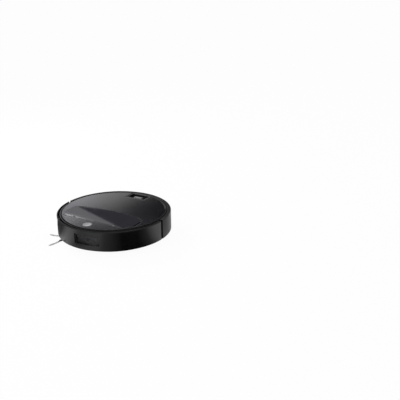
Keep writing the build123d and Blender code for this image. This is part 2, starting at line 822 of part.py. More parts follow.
def power_button():
    """Dished cap with a retaining flange under the deck and a stem over the switch."""
    low = DECK_Z - RUN
    cap = disc(BUTTON_R, low, TOP_Z, 0, BUTTON_Y)
    cap -= Pos(0, BUTTON_Y, TOP_Z + DISH_R - DISH_DEPTH) * Sphere(DISH_R)
    cap += disc(BUTTON_R + BUTTON_FLANGE, low - BUTTON_FLANGE_T, low, 0, BUTTON_Y)
    stem_low = DECK_Z - POST_L + SWITCH_H + BUTTON_TRAVEL + RUN
    cap += disc(BUTTON_STEM_R, stem_low, low, 0, BUTTON_Y)
    return one(cap)


def button_board():
    """Small board on the deck's posts, with the switch under the button."""
    high = DECK_Z - POST_L
    plan = Pos(0, BUTTON_Y) * Rectangle(2 * (BUTTON_R + BUTTON_BOARD_MARGIN), 2 * BUTTON_BOARD_MARGIN)
    board = slab(plan, high - BOARD_T, high)
    board += slab(Pos(0, BUTTON_Y) * Rectangle(SWITCH_W, SWITCH_W), high, high + SWITCH_H)
    return one(board)


def bumper_shell():
    """Half-round outer wall that slides back on impact, with the sensor window's opening."""
    shell = Rot(0, 0, 180) * revolve(skirt(BUMPER_IN_R), Axis.Z, 180)
    shell -= block(-BODY_R - OVER, BODY_R + OVER, -SEAM, BODY_R, 0, TOP_Z)
    room = box_points(BODY_R - WALL - OVER, BODY_R + OVER, WINDOW_Z, WINDOW_Z + WINDOW_H)
    shell -= front_sector(room, WINDOW_FROM, WINDOW_TO)
    return one(shell)


def sensor_window():
    """Curved smoked pane, a little back from the bumper's face."""
    face = BODY_R - WINDOW_RECESS
    pane = box_points(face - WINDOW_T, face, WINDOW_Z, WINDOW_Z + WINDOW_H)
    return one(front_sector(pane, WINDOW_FROM, WINDOW_TO))


def sensor_rod(radius, r0, r1, angle):
    """Cylinder pointing out through the window at an angle from straight ahead."""
    piece = Pos(0, -r0, WINDOW_MID_Z) * (Rot(90, 0, 0) * Cylinder(radius, r1 - r0, align=LOW))
    return Rot(0, 0, angle) * piece


def laser_angles():
    """Directions of the two lasers beside the camera."""
    return SENSOR_AT - LASER_STEP, SENSOR_AT + LASER_STEP


def camera_module():
    """Sensor carrier behind the window with the camera barrel and two laser seats."""
    inner = FRAME_IN_R - CARRIER_DEPTH
    low = WINDOW_Z + CARRIER_MARGIN
    high = WINDOW_Z + WINDOW_H - CARRIER_MARGIN
    body = box_points(inner, CARRIER_FRONT, low, high)
    carrier = front_sector(body, WINDOW_FROM + CARRIER_TURN, WINDOW_TO - CARRIER_TURN)
    flange = box_points(inner, FRAME_IN_R - RUN, low - CARRIER_FLANGE, high + CARRIER_FLANGE)
    carrier += front_sector(flange, WINDOW_FROM - CARRIER_TURN, WINDOW_TO + CARRIER_TURN)
    barrel_front = SENSOR_FRONT - BARREL_BACK
    carrier += sensor_rod(LENS_R + BARREL_WALL, CARRIER_FRONT - OVER, barrel_front, SENSOR_AT)
    carrier -= sensor_rod(LENS_R, CARRIER_FRONT - LENS_SEAT, barrel_front, SENSOR_AT)
    for angle in laser_angles():
        carrier -= sensor_rod(LASER_R, CARRIER_FRONT - LASER_L, CARRIER_FRONT + OVER, angle)
    return one(carrier)


def camera_lens():
    """Lens in the camera barrel."""
    front = SENSOR_FRONT - BARREL_BACK - LENS_SINK
    return one(sensor_rod(LENS_R - SHAFT_GAP, CARRIER_FRONT - LENS_SEAT, front, SENSOR_AT))


def laser_emitters():
    """Two emitters that stand a little out of the carrier."""
    rods = [sensor_rod(LASER_R - SHAFT_GAP, CARRIER_FRONT - LASER_L, CARRIER_FRONT + LASER_OUT, angle)
            for angle in laser_angles()]
    return Compound([one(r) for r in rods])


def brush_core():
    """Core with an end cap at each side, a stub axle and a drive end that reaches into the gearbox."""
    core = rod(BRUSH_CORE_R, -BRUSH_HALF, BRUSH_HALF, BRUSH_Y, BRUSH_Z)
    core += rod(BRUSH_AXLE_R, -BRUSH_HALF - STUB_L, CHAMBER_HALF_W + WALL + STUB_L, BRUSH_Y, BRUSH_Z)
    for x in (-BRUSH_HALF, FIN_HALF):
        core += rod(BRUSH_SLEEVE_R + END_CAP_LIP, x, x + END_CAP_W, BRUSH_Y, BRUSH_Z)
    return one(core)


def fin_run(length, twist):
    """One run of the rubber sleeve: a tube with slanted fins, along +Z from the origin."""
    outline = Circle(BRUSH_SLEEVE_R)
    for k in range(BRUSH_FINS):
        blade = Pos(BRUSH_SLEEVE_R, 0) * Rectangle(2 * (BRUSH_R - BRUSH_SLEEVE_R), FIN_W)
        outline += Rot(0, 0, k * 360 / BRUSH_FINS) * blade
    face = outline.faces()[0]
    run = Solid.extrude_linear_with_rotation(face, (0, 0, 0), (0, 0, length), twist)
    return Part(run.wrapped) - disc(BRUSH_CORE_R, 0, length)


def fin_pitch():
    """Length that each run of fins takes, with its gaps."""
    return 2 * FIN_HALF / FIN_RUNS


def brush_fins():
    """Four runs of fins with gaps for the cover's bars, slanting towards the middle."""
    runs = []
    for k in range(FIN_RUNS):
        twist = FIN_TWIST if k < FIN_RUNS / 2 else -FIN_TWIST
        low = -FIN_HALF + k * fin_pitch() + (FIN_GAP / 2 if k else 0)
        high = -FIN_HALF + (k + 1) * fin_pitch() - (FIN_GAP / 2 if k < FIN_RUNS - 1 else 0)
        runs.append(one(Pos(low, BRUSH_Y, BRUSH_Z) * (Rot(0, 90, 0) * fin_run(high - low, twist))))
    return Compound(runs)


def brush_bearing():
    """Block at the chamber's right end that holds the stub axle."""
    inner = -BRUSH_HALF - RUN
    deep = BRUSH_R / 2
    low = PAN_TOP + BEARING_LIFT
    bearing = block(-CHAMBER_HALF_W, inner, BRUSH_Y - deep, BRUSH_Y + deep, low, CHAMBER_ROOF)
    bearing -= rod(BRUSH_AXLE_R + SHAFT_GAP, -CHAMBER_HALF_W + BEARING_SKIN, inner, BRUSH_Y, BRUSH_Z)
    return one(bearing)


def brush_motor():
    """Gearbox on the end of the brush chamber with its motor can on the far side."""
    inner = CHAMBER_HALF_W + WALL
    outer = inner + GEARBOX_W
    case = block(inner, outer, BRUSH_Y - BRUSH_R, BRUSH_Y + BRUSH_R, PAN_TOP, CHAMBER_ROOF + WALL)
    case = fillet(case.edges().filter_by(Axis.X), GEARBOX_EDGE)
    case -= rod(BRUSH_AXLE_R + SHAFT_GAP, inner, inner + STUB_L + OVER, BRUSH_Y, BRUSH_Z)
    y, z = BRUSH_Y + BRUSH_MOTOR_BACK, BRUSH_Z + BRUSH_MOTOR_UP
    return one(case + rod(BRUSH_MOTOR_R, outer, outer + BRUSH_MOTOR_L, y, z))


def brush_cover():
    """Frame round the brush mouth with bars across it and two release tabs in front."""
    frame = chamber(COVER_MARGIN, PAN_Z, PAN_Z + COVER_T)
    frame = fillet(frame.edges().filter_by(Axis.Z), COVER_CORNER)
    deep = BRUSH_R + CHAMBER_GAP
    half = BRUSH_HALF + MOUTH_MARGIN
    frame -= block(-half, half, BRUSH_Y - deep, BRUSH_Y + deep, 0, TOP_Z)
    deep += OVER
    high = PAN_Z + COVER_T - BAR_DROP
    for k in range(1, FIN_RUNS):
        x = -FIN_HALF + k * fin_pitch()
        frame += block(x - COVER_BAR / 2, x + COVER_BAR / 2, BRUSH_Y - deep, BRUSH_Y + deep, PAN_Z, high)
    frame += cover_clip(0, 0, PAN_Z + CLIP_T)
    return one(frame)


def on_axle(shape, angle):
    """Shape modelled about the X axis, turned and put on the wheel's axle."""
    return Pos(0, WHEEL_Y, WHEEL_Z) * (Rot(angle, 0, 0) * shape)


def wheel_tyre():
    """Tyre with cross grooves."""
    tyre = rod(WHEEL_R, WHEEL_IN, WHEEL_OUT, WHEEL_Y, WHEEL_Z)
    tyre = fillet(tyre.edges().filter_by(GeomType.CIRCLE), TYRE_EDGE)
    tyre -= rod(HUB_R, WHEEL_IN, WHEEL_OUT, WHEEL_Y, WHEEL_Z)
    groove = block(WHEEL_IN, WHEEL_OUT, -TREAD_W / 2, TREAD_W / 2, WHEEL_R - TREAD_DEPTH, WHEEL_R + OVER)
    for k in range(TREADS):
        tyre -= on_axle(groove, (k + 0.5) * 360 / TREADS)
    return one(tyre)


def wheel_hub():
    """Dished and spoked hub with the axle that runs in the arm."""
    face = WHEEL_OUT - HUB_SINK
    dish = WHEEL_OUT - HUB_DISH
    hub = rod(HUB_R, WHEEL_IN + HUB_SINK, face, WHEEL_Y, WHEEL_Z)
    hub -= rod(HUB_R - HUB_RIM, dish, WHEEL_OUT, WHEEL_Y, WHEEL_Z)
    hub += rod(HUB_BOSS_R, dish, face, WHEEL_Y, WHEEL_Z)
    spoke = block(dish, WHEEL_OUT - SPOKE_SINK, -SPOKE_W / 2, SPOKE_W / 2, 0, HUB_R - HUB_RIM + OVER)
    for k in range(SPOKES):
        hub += on_axle(spoke, k * 360 / SPOKES)
    hub += rod(AXLE_R, ARM_IN + RUN, WHEEL_IN + HUB_SINK + OVER, WHEEL_Y, WHEEL_Z)
    return one(hub)


def swing_arm():
    """Gearbox arm from the pivot to the wheel axle, waisted where it drops past the pan."""
    arm = rod(ARM_AXLE_R, ARM_IN, ARM_OUT, WHEEL_Y, WHEEL_Z)
    arm += rod(ARM_PIVOT_R, ARM_IN, ARM_OUT, PIVOT_Y, PIVOT_Z)
    span = math.hypot(PIVOT_Y - WHEEL_Y, PIVOT_Z - WHEEL_Z)
    tilt = math.degrees(math.atan2(PIVOT_Z - WHEEL_Z, PIVOT_Y - WHEEL_Y))
    axle_half = ARM_AXLE_R - ARM_TUCK
    pivot_half = ARM_PIVOT_R - ARM_TUCK
    lower = [(0, -axle_half), (ARM_WAIST_AT, -ARM_WAIST), (span, -pivot_half)]
    upper = [(span, pivot_half), (0, axle_half)]
    web = extrude(Plane.YZ * make_face(Polyline(*lower, *upper, close=True)), ARM_W)
    arm += Pos(ARM_IN, 0, 0) * on_axle(web, tilt)
    arm -= rod(AXLE_R + SHAFT_GAP, ARM_IN, ARM_OUT, WHEEL_Y, WHEEL_Z)
    arm -= rod(PIVOT_R + SHAFT_GAP, ARM_IN, ARM_OUT, PIVOT_Y, PIVOT_Z)
    return one(arm)


def wheel_motor():
    """Motor can on the inner side of the arm."""
    z = PIVOT_Z - (PIVOT_Z - WHEEL_Z) * MOTOR_SHIFT / (PIVOT_Y - WHEEL_Y) + MOTOR_RISE
    end = ARM_IN - MOTOR_L
    motor = rod(MOTOR_R, end, ARM_IN, MOTOR_Y, z)
    motor = fillet(motor.edges().filter_by(GeomType.CIRCLE).sort_by(Axis.X)[:1], MOTOR_EDGE)
    motor += rod(MOTOR_BOSS_R, end - MOTOR_BOSS_L, end + OVER, MOTOR_Y, z)
    return one(motor)


def pivot_pin():
    """Pin across the housing that the arm swings on."""
    return one(rod(PIVOT_R, HOUSING_IN, HOUSING_OUT, PIVOT_Y, PIVOT_Z))


def wheel_housing():
    """Box over the wheel and its arm, open below, with a way through for the motor."""
    front = WHEEL_Y - WHEEL_R - WHEEL_ROOM
    rear = PIVOT_Y + ARM_PIVOT_R + PIVOT_ROOM
    top = WHEEL_Z + WHEEL_R + HOUSING_HEAD
    wall = HOUSING_WALL
    case = block(HOUSING_IN, HOUSING_OUT, front, rear, PAN_TOP, top)
    case = fillet(case.edges().filter_by(Axis.Z), HOUSING_CORNER)
    case -= block(HOUSING_IN + wall, HOUSING_OUT - wall, front + wall, rear - wall, PAN_TOP, top - wall)
    reach = MOTOR_R + MOTOR_ROOM
    inner, outer = HOUSING_IN - OVER, HOUSING_IN + wall + OVER
    motor_front = MOTOR_Y - reach - MOTOR_SWING
    case -= block(inner, outer, motor_front, MOTOR_Y + reach + MOTOR_ROOM, PAN_Z, PIVOT_Z + reach)
    case -= block(inner, outer, WHEEL_Y - AXLE_WINDOW, MOTOR_Y, PAN_Z, PIVOT_Z)
    case -= rod(PIVOT_R + SHAFT_GAP, HOUSING_IN, HOUSING_OUT, PIVOT_Y, PIVOT_Z)
    case -= disc(MOP_CUP_R + WALL + RUN, 0, MOP_CUP_TOP + RUN, MOP_X, MOP_Y)
    return one(case)


def caster_fork():
    """Round swivel with a stem above and a room for the wheel, set back from the stem."""
    fork = disc(FORK_R, PAN_Z, FORK_TOP, 0, CASTER_Y)
    fork = fillet(round_edges(fork)[:1], FORK_EDGE)
    fork += disc(STEM_R, FORK_TOP, FORK_TOP + STEM_L, 0, CASTER_Y)
    half = CASTER_W / 2 + FORK_GAP
    fork -= rod(CASTER_R + TREAD_ROOM, -half, half, CASTER_AXLE_Y, CASTER_R)
    fork -= rod(CASTER_AXLE_R, -FORK_R, FORK_R, CASTER_AXLE_Y, CASTER_R)
    return one(fork)


def caster_axle():
    """Axle held in the fork's cheeks."""
    half = math.sqrt(FORK_R ** 2 - CASTER_TRAIL ** 2) - CASTER_AXLE_INSET
    return one(rod(CASTER_AXLE_R - SHAFT_GAP, -half, half, CASTER_AXLE_Y, CASTER_R))


def caster_wheel():
    """Small wheel, dished on both sides."""
    half = CASTER_W / 2
    wheel = rod(CASTER_R, -half, half, CASTER_AXLE_Y, CASTER_R)
    wheel = fillet(wheel.edges().filter_by(GeomType.CIRCLE), CASTER_EDGE)
    for x in (-half, half - CASTER_DISH):
        wheel -= rod(CASTER_R - CASTER_RIM, x, x + CASTER_DISH, CASTER_AXLE_Y, CASTER_R)
    wheel += rod(CASTER_AXLE_R + CASTER_BOSS, -half, half, CASTER_AXLE_Y, CASTER_R)
    wheel -= rod(CASTER_AXLE_R + SHAFT_GAP, -half, half, CASTER_AXLE_Y, CASTER_R)
    return one(wheel)


def arm_turns():
    """Directions of the side brush arms, the first pointing out to the robot's right."""
    return [180 + SIDE_ARM_TURN + k * 360 / SIDE_ARMS for k in range(SIDE_ARMS)]


def side_brush_hub():
    """Hub with five tapered arms and the drive shaft above."""
    hub = disc(SIDE_HUB_R, SIDE_HUB_Z, PAN_Z)
    hub = fillet(round_edges(hub)[:1], SIDE_HUB_EDGE)
    hub += disc(SIDE_SHAFT_R, PAN_Z, PAN_TOP + SIDE_SHAFT_L)
    root = SIDE_HUB_R - SIDE_ARM_ROOT
    end = SIDE_HUB_R + SIDE_ARM_L
    wide, narrow = SIDE_ARM_W / 2, SIDE_ARM_TIP_W / 2
    plan = make_face(Polyline((root, -wide), (end, -narrow), (end, narrow), (root, wide), close=True))
    arm = slab(plan, SIDE_HUB_Z, SIDE_HUB_Z + SIDE_ARM_T)
    for turn in arm_turns():
        hub += Rot(0, 0, turn) * arm
    return one(Pos(*side_brush_centre()) * hub)


def strand(start, tip):
    """Three-sided bristle from one point to another."""
    corners = [start + Vector(0, STRAND_R * math.cos(a), STRAND_R * math.sin(a))
               for a in (math.pi / 2, math.pi * 7 / 6, math.pi * 11 / 6)]
    return Solid.extrude(Face(Wire.make_polygon(corners, close=True)), tip - start)


def tuft_strands(root):
    """Strands of one tuft along +X, fanning out and sloping down to the floor."""
    for row in range(STRAND_ROWS):
        for column in range(STRAND_COLUMNS):
            across = (column + 0.5) / STRAND_COLUMNS - 0.5
            rise = (row + 0.5) / STRAND_ROWS
            start = Vector(root, across * SIDE_ARM_TIP_W, SIDE_HUB_Z + rise * SIDE_ARM_T)
            reach = TIP_R - STRAND_SIDE_CUT * abs(across) - STRAND_STAGGER * (column % 2)
            tip = Vector(reach, across * (SIDE_ARM_TIP_W + STRAND_FAN), TIP_Z + TIP_RISE * rise)
            yield strand(start, tip)


def side_brush_tufts():
    """Tufts of straight strands, each on a socket at the end of an arm."""
    root = SIDE_HUB_R + SIDE_ARM_L
    half = SIDE_ARM_TIP_W / 2
    socket = block(root, root + SOCKET_L, -half, half, SIDE_HUB_Z, SIDE_HUB_Z + SIDE_ARM_T)
    tuft = socket.fuse(*tuft_strands(root + SOCKET_L / 2))
    return Compound([one(Pos(*side_brush_centre()) * (Rot(0, 0, turn) * tuft)) for turn in arm_turns()])


def side_brush_motor():
    """Motor on the pan over the side brush, bored for the brush's shaft."""
    x, y = side_brush_centre()
    motor = disc(SIDE_MOTOR_R, PAN_TOP, PAN_TOP + SIDE_MOTOR_H, x, y)
    motor = fillet(round_edges(motor)[-1:], SIDE_MOTOR_EDGE)
    motor -= disc(SIDE_SHAFT_R + SHAFT_GAP, PAN_TOP, PAN_TOP + SIDE_SHAFT_L + OVER, x, y)
    return one(motor)


def mop_plate(side):
    """Mop disc with its ribs and spindle."""
    low = MOP_REST_Z + MOP_PAD_T
    high = low + MOP_PLATE_T
    plate = disc(MOP_R - PLATE_INSET, low, low + PLATE_WEB_T) + disc(PLATE_BOSS_R, low, high)
    rib = block(0, MOP_R - PLATE_RIB_INSET, -PLATE_RIB_W / 2, PLATE_RIB_W / 2, low, high)
    for k in range(PLATE_RIBS):
        plate += Rot(0, 0, (k + 0.5) * 360 / PLATE_RIBS) * rib
    plate += disc(MOP_SPINDLE_R, low, CARRIAGE_TOP - SPINDLE_SHORT)
    return one(Pos(side * MOP_X, MOP_Y) * plate)


def mop_pad(side):
    """Round pad with a soft lower edge."""
    pad = disc(MOP_R, MOP_REST_Z, MOP_REST_Z + MOP_PAD_T, side * MOP_X, MOP_Y)
    return one(fillet(round_edges(pad)[:1], MOP_PAD_EDGE))


def mop_carriage():
    """Lifting beam with a bearing sleeve over each mop."""
    beam = slab(Pos(0, MOP_Y) * SlotCenterToCenter(2 * MOP_X, BEAM_W), CARRIAGE_Z, CARRIAGE_TOP - SLEEVE_RISE)
    sleeve_low = MOP_REST_Z + MOP_PAD_T + MOP_PLATE_T + RUN
    for x in (-MOP_X, MOP_X):
        beam += disc(SLEEVE_R, sleeve_low, CARRIAGE_TOP, x, MOP_Y)
        beam -= disc(MOP_SPINDLE_R + SHAFT_GAP, 0, CARRIAGE_TOP - SLEEVE_ROOF, x, MOP_Y)
    return one(beam)


def mop_motor():
    """Drive case on the front of the carriage."""
    rear = MOP_Y - BEAM_W / 2
    half = MOP_MOTOR_W / 2
    return one(block(-half, half, rear - MOP_MOTOR_L, rear, CARRIAGE_Z, CARRIAGE_TOP - SLEEVE_RISE))


def tank_blank():
    """Outer shape of the tank: a straight drawer with the body's rear wall, under the deck."""
    rear = revolve(shouldered(box_points(0, BODY_R, SKIRT_Z, RIM_TOP)), Axis.Z, 180)
    tank = rear & tank_room()
    under_deck = disc(DECK_R + GROOVE, DECK_Z - RUN, TOP_Z)
    return tank - (under_deck - block(-LATCH_HALF_W, LATCH_HALF_W, LATCH_FRONT, BODY_R, 0, TOP_Z))


def tank_hollow():
    """Space for the water, clear of the latch and the filler."""
    inner = TANK_HALF_W - TANK_WALL
    high = DECK_Z - RUN - TANK_WALL
    hollow = block(-inner, inner, TANK_FRONT + TANK_WALL, BODY_R, TANK_Z + TANK_WALL, high)
    hollow &= disc(BODY_R - 2 * TANK_WALL, 0, TOP_Z)
    latch_low = POCKET_Z - LATCH_SEAT - TANK_WALL - LATCH_TRAVEL
    hollow -= block(-LATCH_HALF_W, LATCH_HALF_W, LATCH_FRONT - TANK_WALL, BODY_R, latch_low, TOP_Z)
    return hollow - disc(CAP_R + TANK_WALL, DECK_Z - CAP_T - TANK_WALL, TOP_Z, CAP_X, CAP_Y)


def water_tank():
    """Drawer-like tank whose rear face carries on the body's wall and shoulder."""
    tank = tank_blank() - tank_hollow()
    tank -= block(-POCKET_HALF_W, POCKET_HALF_W, POCKET_FRONT, POCKET_REAR, POCKET_Z, TOP_Z)
    tank -= disc(CAP_R - CAP_STEP, DECK_Z - CAP_T - 2 * TANK_WALL, TOP_Z, CAP_X, CAP_Y)
    tank -= disc(CAP_R, DECK_Z - CAP_T, TOP_Z, CAP_X, CAP_Y)
    tank -= latch_block(RUN, LATCH_SEAT + LATCH_TRAVEL + RUN)
    return one(tank)


def latch_block(gap, depth):
    """Latch, or its room, down to a depth under the pocket's floor."""
    half = LATCH_W / 2 + gap
    front = POCKET_FRONT + LATCH_LEAD
    return block(-half, half, front - gap, front + LATCH_L + gap, POCKET_Z - depth, RIM_TOP - LATCH_DROP)


def tank_latch():
    """Push latch that stands in the finger pocket."""
    latch = latch_block(0, LATCH_SEAT)
    return one(fillet(latch.edges().group_by(Axis.Z)[-1], LATCH_EDGE))


def tank_cap():
    """Filler plug with a grip slot."""
    cap = disc(CAP_R - RUN, DECK_Z - CAP_T, DECK_Z - 2 * RUN, CAP_X, CAP_Y)
    cap += disc(CAP_R - CAP_STEP - RUN, DECK_Z - CAP_T - 2 * TANK_WALL, DECK_Z - CAP_T, CAP_X, CAP_Y)
    cap -= slab(Pos(CAP_X, CAP_Y) * Rectangle(CAP_GRIP_L, CAP_GRIP_W), DECK_Z - CAP_GRIP_W, DECK_Z)
    return one(cap)


def fan_housing():
    """Round case with the inlet on top."""
    case = disc(FAN_R, FAN_Z, FAN_TOP, FAN_X, FAN_Y)
    case = fillet(round_edges(case)[-1:], FAN_EDGE)
    case -= disc(FAN_R - FAN_WALL, FAN_Z + FAN_WALL, FAN_TOP - FAN_WALL, FAN_X, FAN_Y)
    case -= disc(FAN_INLET_R, FAN_TOP - FAN_WALL, FAN_TOP, FAN_X, FAN_Y)
    return one(case)


def fan_motor():
    """Motor under the impeller, with its shaft."""
    motor = disc(FAN_MOTOR_R, FAN_Z + FAN_WALL, FAN_MOTOR_TOP, FAN_X, FAN_Y)
    motor += disc(FAN_SHAFT_R, FAN_MOTOR_TOP, FAN_TOP - FAN_WALL - FAN_SHAFT_SHORT, FAN_X, FAN_Y)
    return one(motor)


def fan_impeller():
    """Back plate, hub and curved-off blades of the suction fan."""
    low = FAN_MOTOR_TOP + RUN
    high = FAN_TOP - FAN_WALL - IMPELLER_SHORT
    wheel = disc(IMPELLER_R, low, low + IMPELLER_T) + disc(IMPELLER_HUB_R, low, high)
    blade = block(IMPELLER_HUB_R - OVER, IMPELLER_R - BLADE_INSET, 0, BLADE_T, low, high - BLADE_SHORT)
    for k in range(BLADES):
        wheel += Rot(0, 0, k * 360 / BLADES) * (Pos(0, BLADE_SHIFT) * blade)
    wheel -= disc(FAN_SHAFT_R + SHAFT_GAP, low, high)
    return one(Pos(FAN_X, FAN_Y) * wheel)


def battery_pack():
    """Wrapped pack of two rows of cells."""
    half = BATTERY_HALF_W - BATTERY_GAP
    front, rear = BATTERY_FRONT + BATTERY_GAP, BATTERY_REAR - BATTERY_GAP
    pack = block(-half, half, front, rear, PAN_TOP, PAN_TOP + BATTERY_H)
    return one(fillet(pack.edges().filter_by(Axis.X), BATTERY_EDGE))


def battery_door():
    """Door in the underside with sunk screw seats."""
    half = BATTERY_HALF_W + DOOR_MARGIN - RUN / 2
    door = block(-half, half, BATTERY_FRONT + RUN / 2, BATTERY_REAR - RUN / 2, PAN_Z, PAN_Z + DOOR_T)
    for x, y in screw_places():
        door -= disc(SCREW_R, 0, PAN_TOP, x, y)
        door -= disc(SCREW_HEAD_R + SHAFT_GAP, 0, PAN_Z + SCREW_HEAD_T, x, y)
    return one(door)


def door_screws():
    """Four screws level with the door."""
    screws = []
    for x, y in screw_places():
        screw = disc(SCREW_R - SHAFT_GAP, PAN_Z, PAN_TOP, x, y)
        screw += disc(SCREW_HEAD_R, PAN_Z, PAN_Z + SCREW_HEAD_T, x, y)
        screws.append(one(screw))
    return Compound(screws)


def board_box():
    """Right, left, front and rear edges of the main board."""
    right = -MID_HALF_W + BOARD_INSET
    left = FAN_X - FAN_R - BOARD_FAN_GAP
    return right, left, BAY_REAR + BOARD_BAY_GAP, MID_REAR - BOARD_REAR_GAP


def middle_frame():
    """Plate over the battery that carries the fan and the main board, on two rear legs."""
    plate = block(-MID_HALF_W, MID_HALF_W, BATTERY_FRONT + BATTERY_GAP, MID_REAR, MID_Z, MID_TOP)
    plate = fillet(plate.edges().filter_by(Axis.Z), MID_CORNER)
    right, left, front, rear = board_box()
    for x in (right + PEG_INSET, left - PEG_INSET):
        for y in (front + PEG_INSET, rear - PEG_INSET):
            plate += disc(PEG_R, MID_TOP, MID_TOP + PEG_H, x, y)
    for x in (-MID_HALF_W + MID_LEG_INSET, MID_HALF_W - MID_LEG_INSET):
        plate += disc(MID_LEG_R, MOP_CUP_TOP, MID_Z, x, MID_REAR - MID_LEG_INSET)
    return one(plate)


def main_board():
    """Board on four pegs, with its larger components."""
    low = MID_TOP + PEG_H
    high = low + BOARD_T
    right, left, front, rear = board_box()
    board = block(right, left, front, rear, low, high)
    for x, y, width, depth, rise in CHIPS:
        board += slab(Pos(right + x, front + y) * Rectangle(width, depth), high, high + rise)
    return one(board)


def speaker():
    """Speaker on the pan with its magnet behind."""
    x, y = polar(SPEAKER_REACH, SPEAKER_AT)
    high = PAN_TOP + SPEAKER_H
    return one(disc(SPEAKER_R, PAN_TOP, high, x, y) + disc(MAGNET_R, high, high + MAGNET_H, x, y))


def cliff_windows():
    """Four panes, sunk a little into the underside."""
    return Compound([one(pane) for pane in cliff_inlays(INLAY_GAP, PAN_Z + CLIFF_SINK, PAN_TOP)])


def charge_contacts():
    """Two contact plates, level with the underside."""
    return Compound([one(plate) for plate in contact_inlays(INLAY_GAP, PAN_Z, PAN_Z + DOOR_T)])


def pieces():
    """Every piece by its node name."""
    made = {
        "base_pan": base_pan(),
        "upper_housing": upper_housing(),
        "top_deck": top_deck(),
        "hatch": hatch(),
        "hatch_pins": hatch_pins(),
        "service_bay": service_bay(),
        "dust_box": dust_box(),
        "dust_box_lid": dust_box_lid(),
        "dust_filter": dust_filter(),
        "button_bezel": button_bezel(),
        "power_button": power_button(),
        "button_board": button_board(),
        "bumper_shell": bumper_shell(),
        "sensor_window": sensor_window(),
        "camera_module": camera_module(),
        "camera_lens": camera_lens(),
        "laser_emitters": laser_emitters(),
        "main_brush_core": brush_core(),
        "main_brush_fins": brush_fins(),
        "brush_bearing": brush_bearing(),
        "brush_motor": brush_motor(),
        "brush_cover": brush_cover(),
        "caster_fork": caster_fork(),
        "caster_axle": caster_axle(),
        "caster_wheel": caster_wheel(),
        "side_brush_hub": side_brush_hub(),
        "side_brush_tufts": side_brush_tufts(),
        "side_brush_motor": side_brush_motor(),
        "mop_carriage": mop_carriage(),
        "mop_motor": mop_motor(),
        "water_tank": water_tank(),
        "tank_latch": tank_latch(),
        "tank_cap": tank_cap(),
        "fan_housing": fan_housing(),
        "fan_motor": fan_motor(),
        "fan_impeller": fan_impeller(),
        "battery_pack": battery_pack(),
        "battery_door": battery_door(),
        "door_screws": door_screws(),
        "middle_frame": middle_frame(),
        "main_board": main_board(),
        "speaker": speaker(),
        "cliff_windows": cliff_windows(),
        "charge_contacts": charge_contacts(),
    }
    for side, name in ((1, "left"), (-1, "right")):
        made[f"{name}_tyre"] = mirrored(wheel_tyre(), side)
        made[f"{name}_hub"] = mirrored(wheel_hub(), side)
        made[f"{name}_swing_arm"] = mirrored(swing_arm(), side)
        made[f"{name}_wheel_motor"] = mirrored(wheel_motor(), side)
        made[f"{name}_pivot_pin"] = mirrored(pivot_pin(), side)
        made[f"{name}_wheel_housing"] = mirrored(wheel_housing(), side)
        made[f"{name}_mop_plate"] = mop_plate(side)
        made[f"{name}_mop_pad"] = mop_pad(side)
    return made


def main():
    """Write one file for each piece."""
    os.makedirs("parts", exist_ok=True)
    for name, shape in pieces().items():
        export_step(shape, f"parts/{name}.step")


main()
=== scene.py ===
"""Looks of a low round robot vacuum, dressed around its solid parts.

Metres, +Z up, origin on the floor under the middle of the body, the robot's front towards -Y.
"""
import json
import math
import random

import bpy
from mathutils import Matrix, Vector, noise

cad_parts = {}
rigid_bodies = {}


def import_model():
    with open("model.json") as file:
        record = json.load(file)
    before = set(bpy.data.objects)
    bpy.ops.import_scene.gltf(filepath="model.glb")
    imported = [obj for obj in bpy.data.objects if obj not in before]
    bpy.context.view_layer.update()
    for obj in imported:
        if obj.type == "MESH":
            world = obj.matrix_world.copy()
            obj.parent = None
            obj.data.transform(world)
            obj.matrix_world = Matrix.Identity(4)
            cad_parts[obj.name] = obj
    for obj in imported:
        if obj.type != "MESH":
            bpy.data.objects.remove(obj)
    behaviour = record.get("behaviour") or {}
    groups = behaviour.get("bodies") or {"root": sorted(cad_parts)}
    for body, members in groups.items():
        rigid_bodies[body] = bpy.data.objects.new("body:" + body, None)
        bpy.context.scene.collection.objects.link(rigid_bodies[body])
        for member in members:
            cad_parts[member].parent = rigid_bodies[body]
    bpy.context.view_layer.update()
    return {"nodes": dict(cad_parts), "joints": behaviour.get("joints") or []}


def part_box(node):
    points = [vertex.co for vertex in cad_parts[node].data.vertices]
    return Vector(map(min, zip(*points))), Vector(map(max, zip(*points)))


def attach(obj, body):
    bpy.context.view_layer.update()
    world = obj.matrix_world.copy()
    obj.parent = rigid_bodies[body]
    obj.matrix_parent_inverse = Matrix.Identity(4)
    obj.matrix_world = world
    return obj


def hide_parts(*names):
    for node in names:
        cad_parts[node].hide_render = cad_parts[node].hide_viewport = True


SEED = 11

# Camera of the photograph
CAMERA_AT = (1.0378, -1.3738, 0.7488)
CAMERA_TILT = math.radians(69.46)
CAMERA_TURN = math.radians(28.21)
CAMERA_LENS = 53.1
CAMERA_REACH = 200.0
SENSOR_W = 36.0

# Light and floor
AMBIENT = 0.62
FLOOR_R = 60.0
FLOOR_SIDES = 64
FLOOR_SEEN = 0.955
FLOOR_COLOUR = (0.95, 0.95, 0.95)
FLOOR_ROUGH = 0.9
LAMP_AIM = (0.0, 0.0, 0.05)
KEY_AT = (-1.34, 0.41, 1.29)
KEY_SIZE = 0.5
KEY_POWER = 12.0
FILL_AT = (-0.6, -1.6, 1.1)
FILL_SIZE = 1.2
FILL_POWER = 9.0

